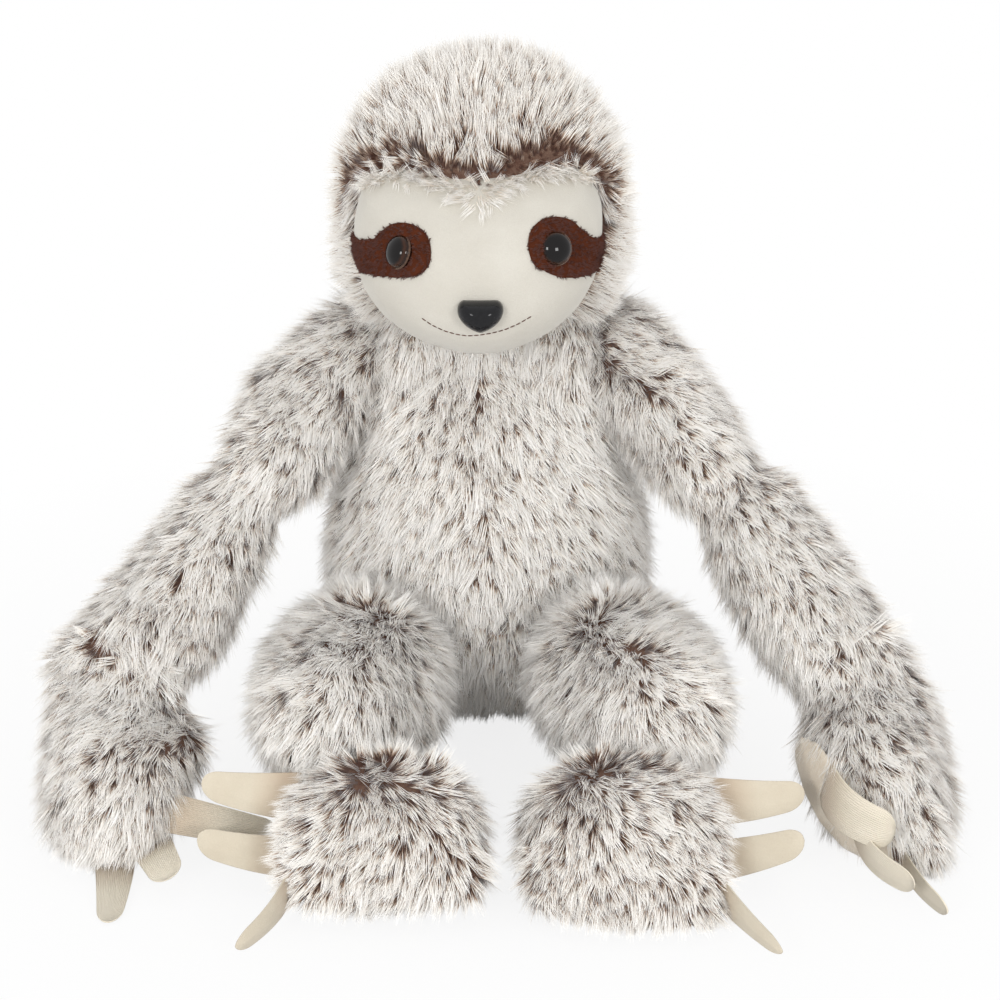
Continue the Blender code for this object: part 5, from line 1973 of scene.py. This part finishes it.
def stitches(
    name: str, path: Sequence[Vector], tree: BVHTree, length: float, pitch: float, width: float,
    around: int = 8, steps: int = 6, end_share: float = 0.45, lift: float = 0.18,
) -> None:
    """Lay stitches along a path on the face and hang them on the head.

    Args:
        name: The object's name.
        path: The line that they follow.
        tree: The surface that they are sewn into.
        length: A stitch's length.
        pitch: From one stitch to the next.
        width: The thread's width.
        around: How many corners a stitch has around.
        steps: How many steps it has along.
        end_share: How thick its ends are, as a share of the thread.
        lift: How far it lies off the surface, as a share of the thread.
    """
    bm = bmesh.new()
    angles = [FULL_TURN * i / around for i in range(around)]
    rings = []
    for k in range(steps + 1):
        share = k / steps
        bow = math.sin(math.pi * share)
        radius = width / 2 * (end_share + (1 - end_share) * bow**0.5)
        centre = Vector((0, 0, (share - 0.5) * length))
        corners = [centre + Vector((math.cos(a), math.sin(a), 0)) * radius for a in angles]
        rings.append([bm.verts.new(corner) for corner in corners])
    for first, second in zip(rings, rings[1:]):
        bridge(bm, first, second)
    bm.faces.new(rings[0][::-1])
    bm.faces.new(rings[-1])
    bmesh.ops.recalc_face_normals(bm, faces=bm.faces)
    stitch = object_from("one_stitch", bm)
    lifted = []
    for point in path:
        near, normal = tree.find_nearest(point)[:2]
        lifted.append(near + normal * width * lift)
    line = bmesh.new()
    corners = [line.verts.new(point) for point in lifted]
    for first, second in zip(corners, corners[1:]):
        line.edges.new((first, second))
    made = object_from(name, line, smooth=False)
    modifier = made.modifiers.new("stitches", "NODES")
    modifier.node_group = stitch_tree()
    fill_sockets(modifier, {"Pitch": pitch, "Stitch": stitch, "Material": THREAD.material()})
    settled(made)
    bpy.data.objects.remove(stitch)
    made.data.shade_smooth()
    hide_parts("mouth_stitching")
    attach(made, "head")


@dataclass
class Limb(Hide):
    """A limb of one side, whose parts are named after it."""

    side: Side = Side.RIGHT
    pile_length: float = 0.0160
    pad_depth: float = 0.004

    def label(self, what: str) -> str:
        """Name one of the limb's parts."""
        return f"{self.side.value}_{what}"


ARM_BULGES = {
    Side.RIGHT: (
        Bulge("upper_arm", (322, 346), -0.010, 0.0175),
        Bulge("upper_arm", (279, 392), -0.022, 0.020),
        Bulge("forearm", (216, 506), -0.048, 0.020),
        Bulge("forearm", (166, 579), -0.068, 0.020),
        Bulge("forearm", (114, 636), -0.083, 0.020),
        Bulge("forearm", (78, 668), -0.088, 0.019),
        Bulge("forearm", (205, 640), -0.085, 0.0155),
        Bulge("hand", (78, 704), -0.100, 0.0195),
        Bulge("hand", (185, 747), -0.116, 0.0155),
    ),
    Side.LEFT: (
        Bulge("upper_arm", (650, 346), -0.010, 0.0175),
        Bulge("upper_arm", (701, 422), -0.022, 0.020),
        Bulge("forearm", (763, 500), -0.048, 0.020),
        Bulge("forearm", (820, 578), -0.068, 0.020),
        Bulge("forearm", (868, 655), -0.083, 0.020),
        Bulge("forearm", (887, 672), -0.088, 0.019),
        Bulge("forearm", (795, 645), -0.085, 0.0155),
        Bulge("hand", (905, 705), -0.100, 0.0195),
        Bulge("hand", (923, 800), -0.116, 0.0190),
        Bulge("hand", (930, 856), -0.148, 0.0135),
    ),
}
ARM_PARTINGS = {
    Side.RIGHT: (
        Parting(((98, 648), (128, 660), (160, 676)), 0.010, 0.7, 1.8),
        Parting(((318, 362), (338, 385), (366, 408)), 0.014, 0.75, 1.2),
        Parting(((112, 744), (150, 750), (188, 744)), 0.020, 0.40, 1.0),
        Parting(((180, 560), (215, 575)), 0.010, 0.45, 0.6),
    ),
    Side.LEFT: (
        Parting(((838, 650), (862, 640), (890, 630)), 0.010, 0.65, 1.8),
        Parting(((596, 352), (612, 372), (650, 384)), 0.016, 0.75, 1.2),
        Parting(((842, 762), (868, 770)), 0.011, 0.65, 0.5),
        Parting(((912, 785), (928, 825), (934, 845)), 0.011, 0.60, 0.4),
        Parting(((735, 495), (760, 480)), 0.010, 0.45, 0.6),
    ),
}
ARM_SEEDS = {Side.RIGHT: 11, Side.LEFT: 12}


@dataclass
class Arm(Limb):
    """An arm: upper arm, forearm and hand in one skin."""

    cut_share: float = 0.52
    elbow_half: float = 0.018
    wrist_half: float = 0.014

    def skin(self) -> Thing:
        """Make the whole arm's skin."""
        nodes = tuple(self.label(part) for part in ("upper_arm", "forearm", "hand"))
        swell = tuple(bulge.on(self.label) for bulge in ARM_BULGES[self.side])
        return Skin(self.label("arm_hide"), nodes, rounds=10, swell=swell, pressure=self.pressure).build()

    def run(self) -> tuple[Vector, Vector, Vector, Vector, Vector]:
        """Give the shoulder, the elbow and the wrist, and which way the upper arm and the forearm lie."""
        shoulder, elbow, wrist = (joint_place(self.label(what)) for what in ("shoulder", "elbow", "wrist"))
        return shoulder, elbow, wrist, (elbow - shoulder).normalized(), (wrist - elbow).normalized()

    def coat(self, skin: Thing) -> Coat:
        """Comb the arm's pile as the photograph shows it."""
        shoulder, elbow, wrist, upper, lower = self.run()
        tip = box_place(self.label("hand"), (0.5, 0.25, 0.0))
        down = (tip - wrist).normalized()
        lies = ((shoulder, upper), (elbow, lower), (wrist, down), (tip, down))
        return Coat(
            upper * 0.5, tuple(Nap(place, way, 0.05, 1.5) for place, way in lies),
            tuple(parting.on(skin) for parting in ARM_PARTINGS[self.side]), length=self.pile_length,
            seed=ARM_SEEDS[self.side], pale=0.03,
        )

    def build(
        self, skin: Thing, neighbours: Sequence[Thing], bald: Sequence[Thing]
    ) -> None:
        """Split the arm half way between its joints, and grow pile on each stretch."""
        coat = self.coat(skin)
        shoulder, elbow, wrist, upper, lower = self.run()
        first, second = shoulder.lerp(elbow, self.cut_share), elbow.lerp(wrist, self.cut_share)
        hand_way = (box_place(self.label("hand"), (0.5, 0.3, 0.2)) - wrist).normalized()
        bend = (upper + lower).normalized() * self.elbow_half
        fold = (lower + hand_way).normalized() * self.wrist_half
        above, front = self.label("upper_arm"), self.label("forearm")
        stretches = (
            ("shoulder", ((first, -upper),), "torso", above, shoulder - upper * 0.006, first - upper * 0.012),
            ("elbow", ((first, upper), (second, -lower)), above, front, elbow - bend, elbow + bend),
            ("hand", ((second, lower),), front, self.label("hand"), wrist - fold, wrist + fold),
        )
        for name, cuts, before, after, start, end in stretches:
            part = piece_between(self.label(f"{name}_hide"), skin, cuts)
            near = neighbours if before == "torso" else ()
            label = self.label(f"{name}_pile")
            pile = self.maker.grow(label, part, coat, near, bald, bald_depth=self.pad_depth)
            self.finish(closed(part), (pile,), (after,), before, (after, start, end))


FOOT_BULGES = {
    Side.RIGHT: (
        Bulge("foot", (468, 880), -0.185, 0.0130),
        Bulge("foot", (300, 884), -0.182, 0.0130),
    ),
    Side.LEFT: (
        Bulge("foot", (545, 894), -0.188, 0.0130),
        Bulge("foot", (706, 908), -0.192, 0.0130),
        Bulge("foot", (650, 912), -0.195, 0.0130),
        Bulge("foot", (600, 906), -0.193, 0.0130),
    ),
}
LEG_PARTINGS = {
    Side.RIGHT: (
        Parting(((345, 604), (385, 612), (425, 634)), 0.016, 0.55, 0.35),
        Parting(((284, 690), (330, 712)), 0.016, 0.55, 0.35),
    ),
    Side.LEFT: (
        Parting(((556, 650), (600, 640), (645, 652)), 0.016, 0.55, 0.35),
        Parting(((650, 704), (700, 700)), 0.016, 0.55, 0.35),
    ),
}
FOOT_PARTINGS = {
    Side.RIGHT: (
        Parting(((350, 786), (385, 780), (430, 788)), 0.020, 0.12, 0.08),
        Parting(((440, 850), (468, 872)), 0.013, 0.5, 0.3),
        Parting(((335, 850), (385, 862)), 0.012, 0.4, 0.3),
    ),
    Side.LEFT: (
        Parting(((575, 800), (620, 790), (665, 800)), 0.020, 0.12, 0.08),
        Parting(((545, 860), (522, 880)), 0.013, 0.5, 0.3),
        Parting(((615, 870), (665, 858)), 0.012, 0.4, 0.3),
    ),
}
LEG_SEEDS = {Side.RIGHT: 21, Side.LEFT: 22}
FOOT_SEEDS = {Side.RIGHT: 31, Side.LEFT: 32}


@dataclass
class Leg(Limb):
    """A leg and the foot that is turned up before it."""

    foot_pile_length: float = 0.0150
    hip_before: float = 0.004
    hip_beyond: float = 0.030

    def skins(self) -> tuple[Thing, Thing]:
        """Make the leg's skin and the foot's."""
        leg, foot = self.label("leg"), self.label("foot")
        swell = tuple(bulge.on(self.label) for bulge in FOOT_BULGES[self.side])
        return (
            Skin(self.label("leg_hide"), (leg,), pressure=self.pressure).build(),
            Skin(self.label("foot_hide"), (foot,), swell=swell, pressure=self.pressure).build(),
        )

    def build(
        self, leg: Thing, foot: Thing, neighbours: Sequence[Thing],
        bald: Sequence[Thing],
    ) -> None:
        """Grow the leg's and the foot's pile, and hang the foot on its body."""
        hip, ankle = joint_place(self.label("hip")), joint_place(self.label("ankle"))
        way = (ankle - hip).normalized()
        # Painted light: pale=0.15 lightens the leg's pile, against the dim shade on the knees.
        coat = Coat(
            Vector((self.side.way * 0.35, -0.3, -1.0)), (),
            tuple(parting.on(leg) for parting in LEG_PARTINGS[self.side]), length=self.pile_length,
            waviness=0.45, seed=LEG_SEEDS[self.side], pale=0.15,
        )
        pile = self.maker.grow(self.label("leg_pile"), leg, coat, (*neighbours, foot), ())
        node = self.label("leg")
        bend = (node, hip - way * self.hip_before, hip + way * self.hip_beyond)
        self.finish(leg, (pile,), (node,), "torso", bend)
        node = self.label("foot")
        coat = Coat(
            Vector((self.side.way * 0.25, 0, -0.9)), (),
            tuple(parting.on(foot) for parting in FOOT_PARTINGS[self.side]), length=self.foot_pile_length,
            waviness=0.55, seed=FOOT_SEEDS[self.side], spring=box_middle(node), spring_pull=0.25, pale=-0.30,
        )
        pile = self.maker.grow(self.label("foot_pile"), foot, coat, (leg,), bald, bald_depth=self.pad_depth)
        self.finish(foot, (pile,), (node,), node)


@dataclass
class Pad:
    """A brushed pad sewn into a palm or a sole."""

    side: Side
    node: str
    body: str

    def build(self) -> Thing:
        """Model the pad with its rolled edge, and hang it on its member."""
        name = f"{self.side.value}_{self.node}"
        cover = Skin(f"{name}_cloth", (name,), inset=0.0003, voxel=0.0013, rounds=5, whole=True, floor=False)
        pad = cover.build()
        dressed(pad, PAD_CLOTH.material())
        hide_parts(name)
        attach(pad, f"{self.side.value}_{self.body}")
        return pad


@dataclass(frozen=True)
class ClawCut:
    """How a claw is cut and lies.

    It holds the share of its length, its bend upwards, its width at the root, its taper and its tip, how many
    degrees it swings on its hinge as it lies, and how far it sits along that hinge.
    """

    reach: float = 1.0
    sway: float = 0.0
    broad: float = 1.06
    taper: float = 0.34
    tip: float = 2.3
    swing: float = 0.0
    aside: float = 0.0


@dataclass
class Claw:
    """A flat claw of two layers of cloth, sewn at the edge and lightly stuffed."""

    side: Side
    name: str
    cloth: ClawCloth
    ribs: int = 20
    columns_a_rib: int = 3
    plain_columns: int = 30
    root_depth: float = 0.007
    rows: int = 26
    row_crowding: float = 1.35
    rib_depth: float = 0.00012
    flange: float = 0.0005
    flange_height: float = 0.22
    end_height: float = 0.25
    crown_share: float = 0.55
    crown_power: float = 0.7
    rib_from: float = 0.3
    rim_mark: Pixel = (0.97, 0.5)
    cut: ClawCut = ClawCut()

    def build(self) -> None:
        """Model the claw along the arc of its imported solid, and hang it on its body."""
        label = f"{self.side.value}_{self.name}"
        root, across = joint_place(f"{label}_bend"), joint_axis(f"{label}_bend")
        points = node_points(label) - np.array(root)
        square = points - np.outer(points @ np.array(across), np.array(across))
        tip = Vector(square[np.argmax(np.linalg.norm(square, axis=1))])
        chord = tip.normalized()
        rise = across.cross(chord).normalized()
        along, up, wide = (points @ np.array(way) for way in (chord, rise, across))
        length = along.max()
        start = along.min() - self.root_depth
        bend = np.polyfit(along, up, 2)
        half_wide = np.abs(wide).max()
        length = start + (length - start) * self.cut.reach
        upwards = 1 if across.z > 0 else -1
        offset = up - np.polyval(bend, along)
        thick = np.percentile(offset, 95) - np.percentile(offset, 5)
        columns = self.ribs * self.columns_a_rib if self.cloth is ClawCloth.RIBBED else self.plain_columns
        turn = Matrix.Rotation(math.radians(self.cut.swing), 3, across)
        chord, rise = turn @ chord, turn @ rise
        root = root + across * self.cut.aside
        bm = bmesh.new()
        layer = bm.loops.layers.uv.new(FUR_MAP)
        sheets: list[list[list[bmesh.types.BMVert]]] = [[], []]
        for row in range(self.rows + 1):
            share = row / self.rows
            place = start + (length - start) * (1 - (1 - share) ** self.row_crowding)
            from_tip = (length - place) / half_wide
            far = (place - start) / (length - start)
            half = half_wide * (self.cut.broad - self.cut.taper * far**1.3)
            if from_tip < 1.0:
                half *= math.sqrt(max(1e-4, 1 - (1 - from_tip) ** self.cut.tip))
            curve = np.polyval(bend, place)
            slope = np.polyval(np.polyder(bend), place)
            normal = (rise - chord * slope).normalized()
            middle = root + chord * place + rise * curve + across * (upwards * self.cut.sway * far**2)
            tops, lows = [], []
            for column in range(columns + 1):
                side = -1 + 2 * column / columns
                near = min((1 - abs(side)) * half, length - place)
                inside = max(0.0, near - self.flange) / (half_wide * self.crown_share)
                crown = self.flange_height + (1 - self.flange_height) * min(1.0, inside) ** self.crown_power
                ribbed = self.rib_depth * math.cos(FULL_TURN * column / self.columns_a_rib)
                ribbed *= self.cloth is ClawCloth.RIBBED and crown > self.rib_from
                height = thick / 2 * (self.end_height if row == self.rows else crown)
                base = middle + across * side * half
                tops.append(bm.verts.new(base + normal * (height + ribbed)))
                lows.append(bm.verts.new(base - normal * height))
            sheets[0].append(tops)
            sheets[1].append(lows)
        curls_to_rise = bend[0] > 0
        ribbed_sheet = 0 if curls_to_rise == (self.cloth is ClawCloth.RIBBED) else 1
        for number, sheet in enumerate(sheets):
            shift = 0.0 if number == ribbed_sheet else 0.5
            for row in range(self.rows):
                for column in range(columns):
                    corners = ((row, column), (row, column + 1), (row + 1, column + 1), (row + 1, column))
                    face = bm.faces.new([sheet[r][c] for r, c in corners])
                    for loop, (r, c) in zip(face.loops, corners):
                        loop[layer].uv = (shift + 0.5 * c / columns, r / self.rows)
        tops, lows = sheets
        rim = [(0, c) for c in range(columns)] + [(r, columns) for r in range(self.rows)]
        rim += [(self.rows, c) for c in range(columns, 0, -1)] + [(r, 0) for r in range(self.rows, 0, -1)]
        for (r, c), (s, d) in zip(rim, rim[1:] + rim[:1]):
            face = bm.faces.new((tops[r][c], tops[s][d], lows[s][d], lows[r][c]))
            for loop in face.loops:
                loop[layer].uv = self.rim_mark
        bmesh.ops.recalc_face_normals(bm, faces=bm.faces)
        claw = object_from(f"{label}_cloth", bm)
        finish = CLAW_RIBS if self.cloth is ClawCloth.RIBBED else CLAW_PILE
        dressed(claw, finish.material())
        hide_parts(label)
        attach(claw, label)


def seen_share(shader: Shader) -> bpy.types.NodeSocket:
    """Give 1 for rays that show a surface, straight or in a gloss, and 0 for those that carry its light."""
    rays = shader.add("ShaderNodeLightPath").outputs
    mirrored = shader.math("MAXIMUM", rays["Is Glossy Ray"], rays["Is Transmission Ray"])
    return shader.math("MAXIMUM", rays["Is Camera Ray"], mirrored)


@dataclass(frozen=True)
class Lamp:
    """A soft square lamp."""

    name: str
    place: tuple[float, float, float]
    size: float
    power: float

    def hang(self, aim: Vector) -> None:
        """Hang the lamp in the scene, pointed at a place."""
        data = bpy.data.lights.new(self.name, "AREA")
        data.size, data.energy = self.size, self.power
        made = bpy.data.objects.new(self.name, data)
        bpy.context.scene.collection.objects.link(made)
        made.location = self.place
        made.rotation_euler = (aim - Vector(self.place)).to_track_quat("-Z", "Y").to_euler()


@dataclass
class Studio:
    """Floor, light and camera.

    The floor glows evenly where it is seen, and less near the toy, so that its shadow shows there.
    """

    view: StudioView = StudioView()
    floor_half: float = 6.0
    floor_grey: float = 0.80
    glow_least: float = 0.84
    glow_from: float = 0.10
    glow_whole: float = 0.42
    room_light: float = 0.88
    aim: tuple[float, float, float] = (0, -0.05, 0.15)
    lamps: tuple[Lamp, ...] = (
        Lamp("key", (-0.75, -1.6, 0.75), 0.42, 9.2),
        Lamp("fill", (0.85, -1.6, 0.65), 0.42, 7.9),
        Lamp("top", (0.1, 0.3, 1.9), 1.2, 0.5),
    )

    def build(self) -> None:
        """Set up a white room with soft light."""
        self.floor()
        for lamp in self.lamps:
            lamp.hang(Vector(self.aim))
        self.room()
        self.camera()
        bpy.context.scene.view_settings.view_transform = "Standard"

    def floor(self) -> None:
        """Lay the floor."""
        bm = bmesh.new()
        bmesh.ops.create_grid(bm, x_segments=1, y_segments=1, size=self.floor_half)
        floor = object_from("floor", bm, smooth=False)
        material = bpy.data.materials.new("white_floor")
        material.use_nodes = True
        shader = Shader(material.node_tree)
        seen = seen_share(shader)
        grey = (self.floor_grey, self.floor_grey, self.floor_grey, 1.0)
        cloth = shader.add("ShaderNodeBsdfPrincipled", Base_Color=grey, Roughness=0.9)
        place = shader.add("ShaderNodeTexCoord").outputs["Object"]
        away = shader.add("ShaderNodeVectorMath", {"operation": "LENGTH"}, Vector=place).outputs["Value"]
        fade = shader.add(
            "ShaderNodeMapRange", Value=away, From_Min=self.glow_from, From_Max=self.glow_whole,
            To_Min=self.glow_least, To_Max=1.0,
        )
        glow = shader.add("ShaderNodeEmission", Color=(1, 1, 1, 1), Strength=1.0)
        lit = shader.add("ShaderNodeMixShader", Fac=shader.math("MULTIPLY", fade.outputs[0], seen))
        shader.feed(lit.inputs[1], cloth.outputs[0])
        shader.feed(lit.inputs[2], glow.outputs[0])
        shader.add("ShaderNodeOutputMaterial", Surface=lit.outputs[0])
        floor.data.materials.append(material)

    def room(self) -> None:
        """Fill the room with even light, a little less of it where it only lights the toy."""
        world = bpy.data.worlds.new("room")
        bpy.context.scene.world = world
        world.use_nodes = True
        shader = Shader(world.node_tree)
        strength = shader.math("MULTIPLY_ADD", seen_share(shader), 1 - self.room_light, self.room_light)
        back = shader.add("ShaderNodeBackground", Color=(1, 1, 1, 1), Strength=strength)
        shader.add("ShaderNodeOutputWorld", Surface=back.outputs[0])

    def camera(self) -> None:
        """Set the camera up as it stood for the photograph."""
        data = bpy.data.cameras.new("camera")
        data.lens, data.sensor_width = self.view.lens, self.view.sensor
        data.clip_end = 30.0
        camera = bpy.data.objects.new("camera", data)
        bpy.context.scene.collection.objects.link(camera)
        camera.location = self.view.place
        camera.rotation_euler = (math.radians(90 - self.view.elevation_degrees), 0, 0)
        bpy.context.scene.camera = camera


HAND_CLAWS = ("hand_inner_claw", "hand_middle_claw", "hand_outer_claw")
HAND_CUTS = {
    (Side.RIGHT, "hand_middle_claw"): ClawCut(0.62, 0.0, 1.10, 0.22, 2.4),
    (Side.RIGHT, "hand_outer_claw"): ClawCut(0.94, 0.0025, 1.06, 0.46, 2.0, aside=0.0070),
    (Side.LEFT, "hand_inner_claw"): ClawCut(0.92, 0.0, 1.38, 0.30, 2.6, swing=30.0),
    (Side.LEFT, "hand_outer_claw"): ClawCut(1.0, 0.0, 1.0, 0.50, 2.0),
}
FOOT_CLAWS = {
    "foot_upper_claw": ClawCut(0.86, 0.0040, 1.28, 0.58, 2.6),
    "foot_middle_claw": ClawCut(0.88, 0.0055, 1.10, 0.36, 2.4),
    "foot_lower_claw": ClawCut(1.06, 0.0, 1.05, 0.55, 1.7),
}
FOOT_CUTS = {(Side.LEFT, "foot_lower_claw"): ClawCut(1.20, 0.0, 1.02, 0.62, 1.5)}


def main() -> None:
    """Build the toy from the trunk outwards, then the room."""
    logging.basicConfig(level=logging.INFO, format="%(name)s %(message)s")
    noise.seed_set(NOISE_SEED)
    Studio().build()
    maker = PileMaker()
    torso, head = Torso(maker), Head(maker)
    torso_skin, hood, face = torso.skin(), head.skin(), head.face()
    arms = {side: Arm(maker, side) for side in Side}
    arm_skins = {side: arms[side].skin() for side in Side}
    legs = {side: Leg(maker, side) for side in Side}
    leg_skins = {side: legs[side].skins() for side in Side}
    torso.build(torso_skin, [hood, *arm_skins.values(), *(pair[0] for pair in leg_skins.values())])
    head.build(hood, face, [torso_skin])
    for side in Side:
        palm, sole = Pad(side, "palm_pad", "hand").build(), Pad(side, "sole_pad", "foot").build()
        for name in HAND_CLAWS:
            Claw(side, name, ClawCloth.RIBBED, cut=HAND_CUTS.get((side, name), ClawCut())).build()
        for name, cut in FOOT_CLAWS.items():
            Claw(side, name, ClawCloth.PILE, cut=FOOT_CUTS.get((side, name), cut)).build()
        arms[side].build(arm_skins[side], [torso_skin], (palm,))
        bpy.data.objects.remove(arm_skins[side])
        legs[side].build(*leg_skins[side], [torso_skin], (sole,))
    maker.clear()


if __name__ == "__main__":
    main()
